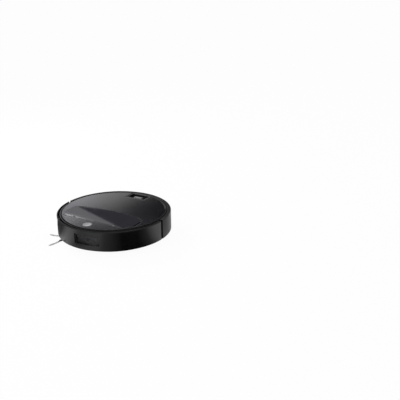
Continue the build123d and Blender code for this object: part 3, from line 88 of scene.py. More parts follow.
# Upright cards behind the robot that its top mirrors: corners in x and z, place in y, tone, and from where
# to where a card fades in
BACK_Y = 1.2
HATCH_CARD = ((-1.185, 0.686), (-0.60, 0.834), (-0.60, 0.678), (-0.915, 0.666))
HATCH_Y = BACK_Y - 0.01
HATCH_TONE = (0.13, 0.13, 0.16)
END_CARD = ((-1.42, 0.672), (-1.185, 0.686), (-0.77, 0.79), (-1.42, 0.79))
END_Y = BACK_Y - 0.005
END_TONE = (0.78, 0.77, 0.82)
STRIP_CARD = ((-1.27, 0.751), (-1.01, 0.757), (-1.01, 0.767), (-1.27, 0.767))
STRIP_Y = BACK_Y - 0.02
STRIP_TONE = (3.6, 3.6, 3.7)
STRIP_FADE = ((-1.0, 0.75), (-1.22, 0.75))
RIGHT_CARD = ((-1.45, 0.28), (-0.12, 0.28), (-0.12, 1.12), (-1.45, 1.12))
RIGHT_TONE = (0.02, 0.02, 0.024)
RIGHT_FADE = ((-0.975, 0.615), (-0.914, 0.711))
RIGHT_END_FADE = ((-0.12, 0.7), (-0.42, 0.7))
LEFT_CARD = ((-1.9, 0.28), (-0.7, 0.28), (-0.7, 1.12), (-1.9, 1.12))
LEFT_Y = BACK_Y + 0.02
LEFT_TONE = (1.55, 1.52, 1.64)
LEFT_FADE = ((-0.985, 0.6), (-1.12, 0.514))

# Dark card on the floor round the front that the bumper mirrors: degrees from straight ahead, and how dark
# it is there
RING_SHADE = (
    (-80.0, 0.95), (-55.0, 0.85), (-40.0, 0.05), (-30.0, 0.05), (-19.0, 0.50), (-13.0, 0.50), (0.0, 0.30),
    (14.0, 0.30), (21.0, 0.64), (45.0, 1.00), (68.0, 0.98), (82.0, 0.76), (89.0, 0.33), (97.0, 0.00),
    (110.0, 0.00), (122.0, 0.30), (150.0, 0.30),
)
RING_FROM = RING_SHADE[0][0]
RING_TO = RING_SHADE[-1][0]
RING_STEPS = 48
RING_R = (0.178, 0.6)
RING_Z = 0.0005

# Dark card on the floor that the front window mirrors: corners in x and y
WINDOW_CARD = ((-0.139, -0.268), (-0.05, -0.273), (0.011, -0.245), (-0.07, -0.214))
WINDOW_Z = 2 * RING_Z
WINDOW_DARK = 0.7

# Plain colours
WHITE = (1.0, 1.0, 1.0)
BLACK = (0.0, 0.0, 0.0)
# Painted shade: black for the rims, the bumper's shoulder, and the deck's scoop and edge
PAINTED_SHADE_BLACK = (0.003, 0.003, 0.0033)
DUST_GREY = (0.34, 0.34, 0.35)
LENS_DARK = (0.012, 0.010, 0.022)
LENS_VIOLET = (0.03, 0.024, 0.05)
BOARD_GREEN = (0.012, 0.075, 0.032)
BOARD_LIGHT = (0.016, 0.095, 0.040)
BOARD_TRACK = (0.05, 0.20, 0.09)
BRISTLE_GREY = (0.68, 0.68, 0.69)
PILE_GREY = (0.22, 0.225, 0.24)
# Painted shade: black of the bead that stands in for the shade in the deck's groove
GROOVE_SHADE_BLACK = (0.003, 0.003, 0.003)
SCREW_GREY = (0.30, 0.30, 0.31)

# Side brush bristles, with the first tuft's way in degrees
STRANDS = 90
STRAND_R = 0.00016
STRAND_TAPER = 0.45
STRAND_STEPS = 5
STRAND_SIDES = 5
STRAND_CLEAR = 0.0004
TUFT_ARMS = 5
TUFT_TURN = 186.5
TUFT_ROOT = 0.033
TUFT_REACH = 0.0732
TUFT_W = 0.0055
TUFT_TALL = 0.0024
TUFT_FAN = 1.6
TUFT_BOW = 0.004
TUFT_DROOP = 2.0
TUFT_LIFT = 0.001
TUFT_ROUND = 0.1
TUFT_RAGGED = 0.06

# Mop pads: rings of their mesh, and shares of their thickness for the round lower edge and the bevel above
PAD_SIDES = 180
PAD_RINGS = 26
PAD_FLAT = 24
PAD_ARC = 6
PAD_TOP = 6
PAD_ROUND = 0.7
PAD_LIP = 0.12
PAD_BEVEL = 0.1
PAD_BACKING = 0.0005
LOOP_SIZE = 0.0034
LOOP_DEPTH = 0.0011
LOOP_SWING = 0.8
LOOP_FINER = 2.3
LOOP_FINE_SHARE = 0.3
LOOP_RIM = 6

# Black bead in the groove round the deck, a dark piece that stands in for the groove's shade, open behind
# where the tank slides out
BEAD_R = 0.1611
BEAD_Z = 0.0788
BEAD_W = 0.0024
BEAD_FLAT = 0.5
BEAD_FROM = math.radians(121.0)
BEAD_TO = math.radians(419.0)
BEAD_STEPS = 240
BEAD_SIDES = 12

# Cross-head screws in the underside
SCREWS = (
    (0.118, -0.078), (-0.118, -0.078), (0.132, 0.070), (-0.132, 0.070), (0.030, -0.105), (-0.030, -0.105),
    (0.142, 0.0), (-0.142, 0.0), (0.0, 0.140),
)
SCREW_Z = 0.011
SCREW_R = 0.0034
SCREW_DOME = 0.0009
SCREW_GRID = 15
CROSS_REACH = 4
CROSS_DEPTH = 0.0009

# Where the body's rim, the bumper's shoulder, the deck's finger scoop and its border are coarse, and
# painted black as shade
RIM_Z = 0.0788
RIM_R = 0.159
RIM_FADE = (-0.05, 0.03)
SHOULDER_Z = 0.0764
SCOOP_Z = 0.0784
BORDER_R = 0.1545
BORDER_FADE = (0.06, 0.13)
ZONE_EDGE = 0.0004


class Graph:
    """Node tree of one material, with short calls to add and link its nodes."""

    def __init__(self, name):
        self.material = bpy.data.materials.new(name)
        self.material.use_nodes = True
        self.tree = self.material.node_tree
        self.shader = self.tree.nodes["Principled BSDF"]
        self.place = self.add("ShaderNodeTexCoord").outputs["Object"]

    def add(self, kind, **settings):
        """New node with some of its settings."""
        node = self.tree.nodes.new(kind)
        for key, value in settings.items():
            setattr(node, key, value)
        return node

    def link(self, source, target):
        """Line from an output to an input."""
        self.tree.links.new(source, target)

    def feed(self, socket, value):
        """Output or plain number into an input."""
        if isinstance(value, bpy.types.NodeSocket):
            self.link(value, socket)
        else:
            socket.default_value = value

    def set(self, **values):
        """Plain values on the shader's own sockets."""
        for key, value in values.items():
            self.shader.inputs[key.replace("_", " ")].default_value = value

    def stretched(self, scale):
        """Place in the object, scaled by axis."""
        node = self.add("ShaderNodeMapping")
        self.link(self.place, node.inputs["Vector"])
        node.inputs["Scale"].default_value = scale
        return node.outputs["Vector"]

    def axis(self, letter):
        """One coordinate of the place in the object."""
        node = self.add("ShaderNodeSeparateXYZ")
        self.link(self.place, node.inputs["Vector"])
        return node.outputs[letter]

    def maths(self, operation, first, second):
        """Two values worked together."""
        node = self.add("ShaderNodeMath", operation=operation)
        self.feed(node.inputs[0], first)
        self.feed(node.inputs[1], second)
        return node.outputs["Value"]

    def noise(self, scale, detail=2.0, vector=None):
        """Cloudy noise, about 0.3 to 0.7."""
        node = self.add("ShaderNodeTexNoise")
        self.link(vector or self.place, node.inputs["Vector"])
        node.inputs["Scale"].default_value = scale
        node.inputs["Detail"].default_value = detail
        return node.outputs["Fac"]

    def cells(self, scale):
        """Distance to the nearest of scattered points."""
        node = self.add("ShaderNodeTexVoronoi")
        self.link(self.place, node.inputs["Vector"])
        node.inputs["Scale"].default_value = scale
        return node.outputs["Distance"]

    def span(self, source, low, high, start=0.3, end=0.7):
        """Source stretched from the range start to end to the range low to high."""
        node = self.add("ShaderNodeMapRange")
        self.link(source, node.inputs["Value"])
        node.inputs["From Min"].default_value = start
        node.inputs["From Max"].default_value = end
        node.inputs["To Min"].default_value = low
        node.inputs["To Max"].default_value = high
        return node.outputs["Result"]

    def ramp(self, source, *stops):
        """Colour ramp through (place, colour) stops."""
        node = self.add("ShaderNodeValToRGB")
        self.link(source, node.inputs["Fac"])
        line = node.color_ramp.elements
        while len(line) < len(stops):
            line.new(1.0)
        for element, (place, colour) in zip(line, stops):
            element.position = place
            element.color = (*colour, 1.0)
        return node.outputs["Color"]

    def mix(self, factor, first, second):
        """Colour between an output and a plain colour."""
        node = self.add("ShaderNodeMix", data_type="RGBA")
        self.link(factor, node.inputs["Factor"])
        self.link(first, node.inputs["A"])
        node.inputs["B"].default_value = (*second, 1.0)
        return node.outputs["Result"]

    def bump(self, height, strength, distance, normal=None):
        """Normal raised by a height."""
        node = self.add("ShaderNodeBump")
        self.link(height, node.inputs["Height"])
        node.inputs["Strength"].default_value = strength
        node.inputs["Distance"].default_value = distance
        if normal:
            self.link(normal, node.inputs["Normal"])
        return node.outputs["Normal"]

    def soft_edges(self, radius):
        """Normal rounded at edges."""
        bevel = self.add("ShaderNodeBevel", samples=6)
        bevel.inputs["Radius"].default_value = radius
        return bevel.outputs["Normal"]

    def edge_mask(self, rounded):
        """1 where a rounded normal leaves the true one."""
        true = self.add("ShaderNodeNewGeometry").outputs["Normal"]
        dot = self.add("ShaderNodeVectorMath", operation="DOT_PRODUCT")
        self.link(rounded, dot.inputs[0])
        self.link(true, dot.inputs[1])
        return self.span(dot.outputs["Value"], low=1.0, high=0.0, start=0.75, end=0.985)

    def glow(self, colour):
        """Shader that gives off one colour, whatever the light."""
        node = self.add("ShaderNodeEmission")
        node.inputs["Color"].default_value = (*colour, 1.0)
        return node.outputs["Emission"]

    def surface(self, factor, first, second):
        """Mix of two shaders as the material's surface."""
        mix = self.add("ShaderNodeMixShader")
        self.feed(mix.inputs["Fac"], factor)
        self.link(first, mix.inputs[1])
        self.link(second, mix.inputs[2])
        self.link(mix.outputs["Shader"], self.tree.nodes["Material Output"].inputs["Surface"])

    def veil(self, solid, tone):
        """Surface of one tone that is clear where it isn't solid."""
        clear = self.add("ShaderNodeBsdfTransparent").outputs["BSDF"]
        self.surface(solid, clear, self.glow(tone))

    def done(self, colour, roughness, normal=None):
        """Material with its colour, roughness and normal linked."""
        for key, value in (("Base Color", colour), ("Roughness", roughness), ("Normal", normal)):
            if value is not None:
                self.link(value, self.shader.inputs[key])
        return self.material


def shade(colour, factor):
    """Colour made lighter or darker."""
    return tuple(min(1.0, c * factor) for c in colour)


def clouded(g, pattern, colour, dark, light, start=0.3, end=0.7):
    """Colour that goes from a darker to a lighter shade with a pattern."""
    return g.ramp(pattern, (start, shade(colour, dark)), (end, shade(colour, light)))


def mottled(g, colour):
    """Colour of moulded plastic, with faint clouds."""
    clouds = g.noise(scale=42.0, detail=4.0)
    return clouded(g, clouds, colour, dark=0.88, light=1.12, start=0.35, end=0.65)


def worn(g, normal, base, colour, most):
    """Colour that turns to another one, up to a share, where a rounded normal shows an edge."""
    return g.mix(g.span(g.edge_mask(normal), low=0.0, high=most, start=0.0, end=1.0), base, colour)


def moulded(name, colour, roughness, grain=1500.0, depth=0.00005):
    """Satin moulded plastic with a spark-eroded grain and slightly polished edges."""
    g = Graph(name)
    normal = g.soft_edges(radius=0.0005)
    tint = worn(g, normal, mottled(g, colour), shade(colour, factor=1.7), most=0.6)
    rough = g.span(g.noise(scale=130.0, detail=3.0), low=roughness - 0.04, high=roughness + 0.05)
    return g.done(tint, rough, g.bump(g.noise(scale=grain), strength=0.35, distance=depth, normal=normal))


def above(g, value, limit):
    """1 where a value is over a limit."""
    return g.span(value, low=0.0, high=1.0, start=limit - ZONE_EDGE, end=limit + ZONE_EDGE)


def behind(g, fade):
    """0 in front of one place along Y, 1 behind another."""
    start, end = fade
    return g.span(g.axis("Y"), low=0.0, high=1.0, start=start, end=end)


def past_edge(g, radius):
    """1 outside a circle round the middle of the body."""
    x, y = g.axis("X"), g.axis("Y")
    square = g.maths("ADD", g.maths("MULTIPLY", x, x), g.maths("MULTIPLY", y, y))
    return above(g, g.maths("POWER", square, 0.5), radius)


def rim_shade_zone(g):
    """Flat top of the body's rim, coarse and painted black as shade, less and less towards the front."""
    rim = g.maths("MULTIPLY", above(g, g.axis("Z"), RIM_Z), past_edge(g, RIM_R))
    return g.maths("MULTIPLY", rim, behind(g, RIM_FADE))


def shoulder_shade_zone(g):
    """Rounded top edge of the bumper, coarse and painted black as shade."""
    return above(g, g.axis("Z"), SHOULDER_Z)


def deck_shade_zone(g):
    """Floor of the deck's finger scoop, and the deck's edge, which is broader behind: coarse and painted
    black as shade.
    """
    scoop = g.maths("SUBTRACT", 1.0, above(g, g.axis("Z"), SCOOP_Z))
    border = g.maths("MULTIPLY", past_edge(g, BORDER_R), behind(g, BORDER_FADE))
    return g.maths("MAXIMUM", g.maths("MAXIMUM", scoop, border), past_edge(g, RIM_R))


def textured_with_shade(name, colour, roughness, specular, zone, depth=0.00002):
    """Moulded plastic that is coarser in one zone and painted black there as shade."""
    g = Graph(name)
    coarse_and_shade = zone(g)
    # Painted shade: the zone is turned black
    tint = g.mix(coarse_and_shade, mottled(g, colour), PAINTED_SHADE_BLACK)
    polish = g.span(g.noise(scale=130.0, detail=3.0), low=roughness - 0.012, high=roughness + 0.016)
    rough = g.maths("MAXIMUM", polish, coarse_and_shade)
    normal = g.soft_edges(radius=0.001)
    g.set(Specular_IOR_Level=specular)
    return g.done(tint, rough, g.bump(g.noise(scale=1500.0), strength=0.3, distance=depth, normal=normal))


def glossy(name, colour, roughness, specular=0.5):
    """Polished plastic with faint smears, a few dust specks and a trace of orange peel."""
    g = Graph(name)
    base = clouded(g, g.noise(scale=18.0, detail=3.0), colour, dark=0.9, light=1.1)
    tint = g.mix(g.span(g.cells(scale=640.0), low=0.1, high=0.0, start=0.03, end=0.06), base, DUST_GREY)
    smear = g.noise(scale=26.0, detail=5.0, vector=g.stretched(scale=(1.0, 2.6, 1.0)))
    rough = g.span(smear, low=roughness * 0.8, high=roughness * 1.35)
    peel = g.noise(scale=260.0, detail=1.0)
    normal = g.soft_edges(radius=0.0004)
    g.set(Specular_IOR_Level=specular)
    return g.done(tint, rough, g.bump(peel, strength=0.05, distance=0.00001, normal=normal))


def rubber(name, colour, roughness=0.72, specular=0.4):
    """Black rubber with a chalky bloom on its edges."""
    g = Graph(name)
    normal = g.soft_edges(radius=0.0004)
    base = clouded(g, g.noise(scale=60.0, detail=4.0), colour, dark=0.75, light=1.35, start=0.35)
    tint = worn(g, normal, base, shade(colour, factor=2.4), most=0.5)
    rough = g.span(g.noise(scale=220.0), low=roughness - 0.08, high=roughness + 0.1)
    g.set(Specular_IOR_Level=specular)
    return g.done(tint, rough, g.bump(g.noise(scale=2200.0), strength=0.3, distance=0.00004, normal=normal))


def metal(name, colour, roughness=0.3):
    """Turned or brushed metal, with fine level streaks."""
    g = Graph(name)
    streaks = g.noise(scale=340.0, detail=3.0, vector=g.stretched(scale=(1.0, 1.0, 30.0)))
    tint = clouded(g, streaks, colour, dark=0.82, light=1.08)
    rough = g.span(streaks, low=roughness - 0.08, high=roughness + 0.1)
    normal = g.soft_edges(radius=0.0003)
    g.set(Metallic=1.0)
    return g.done(tint, rough, g.bump(streaks, strength=0.12, distance=0.00003, normal=normal))


def smoked_pane(name, colour, clear):
    """Dark plastic pane that shows a little of what is behind it."""
    g = Graph(name)
    base = clouded(g, g.noise(scale=30.0), colour, dark=0.85, light=1.15)
    rough = g.span(g.noise(scale=40.0, detail=4.0), low=0.03, high=0.07)
    g.set(Alpha=1.0 - clear, IOR=1.49)
    return g.done(base, rough, g.bump(g.noise(scale=180.0, detail=1.0), strength=0.04, distance=0.00003))


def lens_glass(name):
    """Dark coated lens with a violet bloom."""
    g = Graph(name)
    base = g.ramp(g.noise(scale=400.0), (0.35, LENS_DARK), (0.65, LENS_VIOLET))
    rough = g.span(g.noise(scale=300.0), low=0.02, high=0.05)
    g.set(Coat_Weight=1.0, Coat_Roughness=0.02, IOR=1.6)
    return g.done(base, rough)


def circuit_board(name):
    """Green solder mask with tinned tracks."""
    g = Graph(name)
    bricks = g.add("ShaderNodeTexBrick")
    g.link(g.place, bricks.inputs["Vector"])
    sizes = {"Scale": 160.0, "Mortar Size": 0.035, "Brick Width": 0.9, "Row Height": 0.35}
    for key, value in sizes.items():
        bricks.inputs[key].default_value = value
    for key, colour in (("Color1", BOARD_GREEN), ("Color2", BOARD_LIGHT), ("Mortar", BOARD_TRACK)):
        bricks.inputs[key].default_value = (*colour, 1.0)
    rough = g.span(g.noise(scale=150.0), low=0.32, high=0.45)
    tracks = g.bump(bricks.outputs["Fac"], strength=0.2, distance=0.00005)
    return g.done(bricks.outputs["Color"], rough, tracks)


def fibrous(name, colour, scale=420.0):
    """Paper or wrap made of short fibres."""
    g = Graph(name)
    fibres = g.noise(scale=scale, detail=6.0, vector=g.stretched(scale=(1.0, 1.0, 0.3)))
    tint = clouded(g, fibres, colour, dark=0.72, light=1.1)
    rough = g.span(fibres, low=0.85, high=0.98)
    return g.done(tint, rough, g.bump(fibres, strength=0.5, distance=0.0002))


def microfibre(name, colour):
    """Looped pile with painted shade at the roots of its loops, painted light on their tops, and a pale
    bloom of yarn over all.
    """
    g = Graph(name)
    yarn = g.noise(scale=2600.0, detail=3.0)
    # Painted light and shade of the loops: lighter tops, darker roots
    lit_crown = shade(colour, factor=1.12)
    root = shade(colour, factor=0.6)
    loop_light_and_shade = g.ramp(g.cells(scale=1.0 / LOOP_SIZE), (0.1, lit_crown), (0.75, root))
    tint = g.mix(g.span(yarn, low=0.0, high=0.45), loop_light_and_shade, shade(colour, factor=1.35))
    rough = g.span(yarn, low=0.88, high=1.0)
    g.set(Sheen_Weight=0.35, Sheen_Roughness=0.55)
    return g.done(tint, rough, g.bump(yarn, strength=0.6, distance=0.00025))


def nylon(name, colour):
    """Pale bristle nylon that lets a little light through."""
    g = Graph(name)
    tint = clouded(g, g.noise(scale=300.0), colour, dark=0.8, light=1.12)
    rough = g.span(g.noise(scale=500.0), low=0.35, high=0.5)
    g.set(Subsurface_Weight=0.1, Subsurface_Scale=0.001)
    return g.done(tint, rough)


def both(piece):
    """Left and right node of a piece."""
    return [f"left_{piece}", f"right_{piece}"]


def shell_finishes():
    """Finishes of what shows from above, each with the CAD nodes that carry it."""
    return {
        textured_with_shade("deck_satin", (0.0055, 0.0055, 0.0063), roughness=0.13, specular=0.5, zone=deck_shade_zone,
                 depth=0.000003): ["top_deck"],
        glossy("hatch_gloss", (0.010, 0.010, 0.012), roughness=0.035, specular=0.42): ["hatch"],
        textured_with_shade("shell_black", (0.010, 0.010, 0.011), roughness=0.3, specular=0.16,
                 zone=rim_shade_zone): ["upper_housing"],
        textured_with_shade("bumper_gloss", (0.0035, 0.0035, 0.0038), roughness=0.17, specular=0.55,
                 zone=shoulder_shade_zone, depth=0.000006): ["bumper_shell"],
        textured_with_shade("tank_smoked", (0.010, 0.010, 0.012), roughness=0.24, specular=0.3, zone=rim_shade_zone,
                 depth=0.00001): ["water_tank"],
        smoked_pane("window_smoked", (0.006, 0.006, 0.008), clear=0.5): ["sensor_window"],
        lens_glass("lens_glass"): ["camera_lens"],
        moulded("sensor_grey", (0.30, 0.30, 0.31), roughness=0.4): ["camera_module"],
        moulded("bezel_black", (0.012, 0.012, 0.013), roughness=0.3): ["button_bezel"],
        glossy("latch_grey", (0.16, 0.16, 0.165), roughness=0.24): ["tank_latch"],
        glossy("button_silver", (0.27, 0.27, 0.28), roughness=0.16): ["power_button"],
    }


def inner_finishes():
    """Finishes of the underside and the inside, each with the CAD nodes that carry it."""
    return {
        moulded("chassis_black", (0.018, 0.018, 0.019), roughness=0.5, grain=900.0, depth=0.00009): [
            "base_pan", "battery_door", "mop_motor", "fan_housing", "speaker", "caster_fork",
            *both("swing_arm"), *both("wheel_housing")],
        moulded("inner_grey", (0.085, 0.086, 0.092), roughness=0.42): [
            "service_bay", "brush_cover", "brush_bearing", "main_brush_core", "mop_carriage",
            "fan_impeller", "middle_frame", *both("hub"), *both("mop_plate")],
        smoked_pane("cliff_smoked", (0.012, 0.01, 0.012), clear=0.3): ["cliff_windows"],
        smoked_pane("dust_clear", (0.09, 0.09, 0.10), clear=0.45): ["dust_box", "dust_box_lid"],
        fibrous("filter_paper", (0.78, 0.77, 0.72)): ["dust_filter"],
        fibrous("battery_wrap", (0.02, 0.05, 0.16), scale=120.0): ["battery_pack"],
        rubber("rubber_black", (0.014, 0.014, 0.014)): [
            "main_brush_fins", "caster_wheel", "side_brush_hub", "tank_cap"],
        rubber("tyre_black", (0.012, 0.012, 0.012), roughness=0.8): both("tyre"),
        metal("steel", (0.56, 0.56, 0.58)): [
            "hatch_pins", "caster_axle", "door_screws", "fan_motor", "laser_emitters", *both("pivot_pin")],
        metal("motor_steel", (0.42, 0.42, 0.43), roughness=0.38): [
            "brush_motor", "side_brush_motor", *both("wheel_motor")],
        metal("contact_plate", (0.80, 0.64, 0.36), roughness=0.24): ["charge_contacts"],
        circuit_board("board_green"): ["main_board", "button_board"],
    }


def dress(nodes):
    """Put the finishes on the CAD nodes."""
    for material, names in [*shell_finishes().items(), *inner_finishes().items()]:
        for name in names:
            slots = nodes[name].data.materials
            slots.clear()
            slots.append(material)


def mesh_piece(name, points, faces, material, smooth=True):
    """Object from points and faces."""
    mesh = bpy.data.meshes.new(name)
    mesh.from_pydata([tuple(p) for p in points], [], faces)
    mesh.update()
    for face in mesh.polygons:
        face.use_smooth = smooth
    mesh.materials.append(material)
    piece = bpy.data.objects.new(name, mesh)
    bpy.context.scene.collection.objects.link(piece)
    return piece


def plate(name, corners, material):
    """Object of one flat face."""
    return mesh_piece(name, corners, [tuple(range(len(corners)))], material, smooth=False)


def add_tube(points, faces, path, radii, sides, flat=1.0):
    """Closed tube along a path, flattened or not, added to a mesh's lists."""
    first = len(points)
    for k, (place, radius) in enumerate(zip(path, radii)):
        ahead = (path[min(k + 1, len(path) - 1)] - path[max(k - 1, 0)]).normalized()
        across = ahead.cross(Vector((0, 0, 1))).normalized()
        upward = across.cross(ahead)
        for s in range(sides):
            turn = 2 * math.pi * s / sides
            points.append(place + radius * (math.cos(turn) * across + flat * math.sin(turn) * upward))
    for k in range(len(path) - 1):
        low = first + k * sides
        for s in range(sides):
            after = (s + 1) % sides
            faces.append((low + s, low + after, low + sides + after, low + sides + s))
    faces.append(tuple(first + s for s in reversed(range(sides))))
    faces.append(tuple(first + (len(path) - 1) * sides + s for s in range(sides)))


def joint_place(frame, name):
    """Middle of a joint."""
    return Vector(next(j["pos_m"] for j in frame["joints"] if j["name"] == name))


def strand_path(draw, low, high):
    """Points of one strand along +X, which bows to one side and down to the floor."""
    across = draw.uniform(-0.5, 0.5)
    rise = draw.random()
    reach = TUFT_REACH * (1 - TUFT_ROUND * abs(across) - TUFT_RAGGED * draw.random())
    start = high - STRAND_CLEAR - TUFT_TALL * rise
    fall = start - low - STRAND_CLEAR - TUFT_LIFT * (1 - rise)
    path = []
    for step in range(STRAND_STEPS + 1):
        t = step / STRAND_STEPS
        out = TUFT_ROOT + (reach - TUFT_ROOT) * t
        wide = TUFT_W * across * (1 + (TUFT_FAN - 1) * t * t) - TUFT_BOW * t * t
        path.append(Vector((out, wide, start - fall * (1 - (1 - t) ** TUFT_DROOP))))
    return path


def side_brush_bristles(frame):
    """Tufts of fine strands that fan out a little, bow to one side and reach down to the floor."""
    draw = random.Random(SEED)
    low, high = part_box("side_brush_tufts")
    centre = joint_place(frame, "side_brush_spin")
    centre.z = 0.0
    radii = [STRAND_R * (1 - STRAND_TAPER * step / STRAND_STEPS) for step in range(STRAND_STEPS + 1)]
    points, faces = [], []
    for arm in range(TUFT_ARMS):
        turn = Matrix.Rotation(math.radians(TUFT_TURN + arm * 360 / TUFT_ARMS), 3, "Z")
        for _ in range(STRANDS):
            path = [centre + turn @ place for place in strand_path(draw, low.z, high.z)]
            add_tube(points, faces, path, radii, STRAND_SIDES)
    piece = mesh_piece("side_brush_bristles", points, faces, nylon("bristle_pale", BRISTLE_GREY))
    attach(piece, "side_brush")
    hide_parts("side_brush_tufts")


def pad_profile(radius, low, high):
    """Half section of a pad, from its middle below to its middle above, with a round lower edge."""
    thick = high - low
    edge = PAD_ROUND * thick
    section = [(radius * k / PAD_RINGS, low) for k in range(PAD_FLAT)]
    for k in range(PAD_ARC + 1):
        turn = math.pi / 2 * k / PAD_ARC
        section.append((radius - edge + edge * math.sin(turn), low + edge - edge * math.cos(turn)))
    section.append((radius, high - PAD_LIP * thick))
    section.append((radius - PAD_BEVEL * thick, high))
    section += [(radius * k / PAD_TOP, high) for k in reversed(range(PAD_TOP))]
    return section


def pile_height(place):
    """Rise and fall of the looped pile at a place, as a share of its depth."""
    tufts = noise.noise(place / LOOP_SIZE)
    yarns = noise.noise(place / LOOP_SIZE * LOOP_FINER)
    return tufts * (1 - LOOP_FINE_SHARE) + yarns * LOOP_FINE_SHARE


def mop_pad(frame, side, material):
    """Round mop pad whose looped pile stands in small tufts."""
    node = f"{side}_mop_pad"
    low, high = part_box(node)
    centre = joint_place(frame, f"{side}_mop_spin")
    radius = (high.x - low.x) / 2 - LOOP_DEPTH
    section = pad_profile(radius, low.z + LOOP_DEPTH, high.z)
    points, faces = [], []
    for s in range(PAD_SIDES):
        turn = 2 * math.pi * s / PAD_SIDES
        for r, z in section:
            place = Vector((centre.x + r * math.cos(turn), centre.y + r * math.sin(turn), z))
            if z < high.z - PAD_BACKING:
                out = Vector((math.cos(turn), math.sin(turn), 0)) * min(1.0, r / radius) ** LOOP_RIM
                place += (out + Vector((0, 0, -1))) * pile_height(place) * LOOP_DEPTH * LOOP_SWING
            points.append(place)
    count = len(section)
    for s in range(PAD_SIDES):
        after = (s + 1) % PAD_SIDES
        for k in range(count - 1):
            faces.append((s * count + k, s * count + k + 1, after * count + k + 1, after * count + k))
    piece = mesh_piece(f"{side}_mop_pile", points, faces, material)
    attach(piece, f"{side}_mop")
    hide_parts(node)


def groove_shade_bead():
    """Black bead in the groove round the deck, a dark piece that stands in for the groove's shade."""
    path = []
    for k in range(BEAD_STEPS + 1):
        turn = BEAD_FROM + (BEAD_TO - BEAD_FROM) * k / BEAD_STEPS
        path.append(Vector((BEAD_R * math.cos(turn), BEAD_R * math.sin(turn), BEAD_Z)))
    points, faces = [], []
    add_tube(points, faces, path, [BEAD_W] * len(path), BEAD_SIDES, BEAD_FLAT)
    bead = rubber("groove_shade_black", GROOVE_SHADE_BLACK, roughness=0.88, specular=0.1)
    piece = mesh_piece("groove_shade_bead", points, faces, bead)
    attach(piece, "chassis")


def in_cross(i, j):
    """True for the cells of a screw head's cross recess."""
    beside = abs(i - SCREW_GRID // 2)
    along = abs(j - SCREW_GRID // 2)
    return min(beside, along) == 0 and max(beside, along) <= CROSS_REACH


def disc_place(i, j, depth):
    """Corner of a screw head's grid, drawn in from a square to a low dome facing down."""
    u = 2 * i / SCREW_GRID - 1
    v = 2 * j / SCREW_GRID - 1
    x = u * math.sqrt(1 - v * v / 2)
    y = v * math.sqrt(1 - u * u / 2)
    dome = SCREW_DOME * max(0.0, 1 - (x * x + y * y)) ** 0.5
    return Vector((SCREW_R * x, SCREW_R * y, depth - dome))


def screw_head():
    """Points and faces of one domed head with a cross recess."""
    points, faces = [], []

    def quad(*corners):
        faces.append(tuple(range(len(points), len(points) + 4)))
        points.extend(corners)

    for i in range(SCREW_GRID):
        for j in range(SCREW_GRID):
            deep = CROSS_DEPTH if in_cross(i, j) else 0.0
            quad(disc_place(i, j, deep), disc_place(i, j + 1, deep),
                 disc_place(i + 1, j + 1, deep), disc_place(i + 1, j, deep))
            if in_cross(i, j) != in_cross(i + 1, j):
                quad(disc_place(i + 1, j, 0), disc_place(i + 1, j + 1, 0),
                     disc_place(i + 1, j + 1, CROSS_DEPTH), disc_place(i + 1, j, CROSS_DEPTH))
            if in_cross(i, j) != in_cross(i, j + 1):
                quad(disc_place(i, j + 1, 0), disc_place(i + 1, j + 1, 0),
                     disc_place(i + 1, j + 1, CROSS_DEPTH), disc_place(i, j + 1, CROSS_DEPTH))
    return points, faces


def pan_screws():
    """Screws that hold the floor pan, each turned as it was left."""
    draw = random.Random(SEED)
    head, cells = screw_head()
    points, faces = [], []
    for x, y in SCREWS:
        turn = Matrix.Rotation(draw.uniform(0.0, math.pi), 3, "Z")
        first = len(points)
        points += [Vector((x, y, SCREW_Z)) + turn @ place for place in head]
        faces += [tuple(first + k for k in cell) for cell in cells]
    steel = metal("screw_steel", SCREW_GREY, roughness=0.34)
    piece = mesh_piece("pan_screws", points, faces, steel, smooth=False)
    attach(piece, "chassis")


def light_mask(tree):
    """1 for rays that see the background: from the camera, a mirror or glass."""
    path = tree.nodes.new("ShaderNodeLightPath")
    total = path.outputs["Is Camera Ray"]
    for key in ("Is Glossy Ray", "Is Transmission Ray"):
        more = tree.nodes.new("ShaderNodeMath")
        more.operation = "MAXIMUM"
        tree.links.new(total, more.inputs[0])
        tree.links.new(path.outputs[key], more.inputs[1])
        total = more.outputs["Value"]
    return total


def studio_world():
    """Even light, and a white background wherever it is seen."""
    world = bpy.data.worlds.new("studio")
    bpy.context.scene.world = world
    world.use_nodes = True
    tree = world.node_tree
    light = tree.nodes["Background"]
    seen = tree.nodes.new("ShaderNodeBackground")
    for node, strength in ((light, AMBIENT), (seen, 1.0)):
        node.inputs["Color"].default_value = (*WHITE, 1.0)
        node.inputs["Strength"].default_value = strength
    mix = tree.nodes.new("ShaderNodeMixShader")
    tree.links.new(light_mask(tree), mix.inputs["Fac"])
    tree.links.new(light.outputs["Background"], mix.inputs[1])
    tree.links.new(seen.outputs["Background"], mix.inputs[2])
    tree.links.new(mix.outputs["Shader"], tree.nodes["World Output"].inputs["Surface"])


def floor():
    """Pale floor that reads as white and keeps a faint shadow."""
    g = Graph("floor_white")
    g.set(Base_Color=(*FLOOR_COLOUR, 1.0), Roughness=FLOOR_ROUGH, Specular_IOR_Level=0.0)
    share = g.maths("MULTIPLY", light_mask(g.tree), FLOOR_SEEN)
    g.surface(share, g.shader.outputs["BSDF"], g.glow(WHITE))
    turns = [2 * math.pi * k / FLOOR_SIDES for k in range(FLOOR_SIDES)]
    ring = [(FLOOR_R * math.cos(turn), FLOOR_R * math.sin(turn), 0.0) for turn in turns]
    plate("floor", ring, g.material)


def only_mirrored(card):
    """Studio card that only reflections see."""
    card.visible_camera = False
    card.visible_diffuse = False
    card.visible_transmission = False
    card.visible_shadow = False


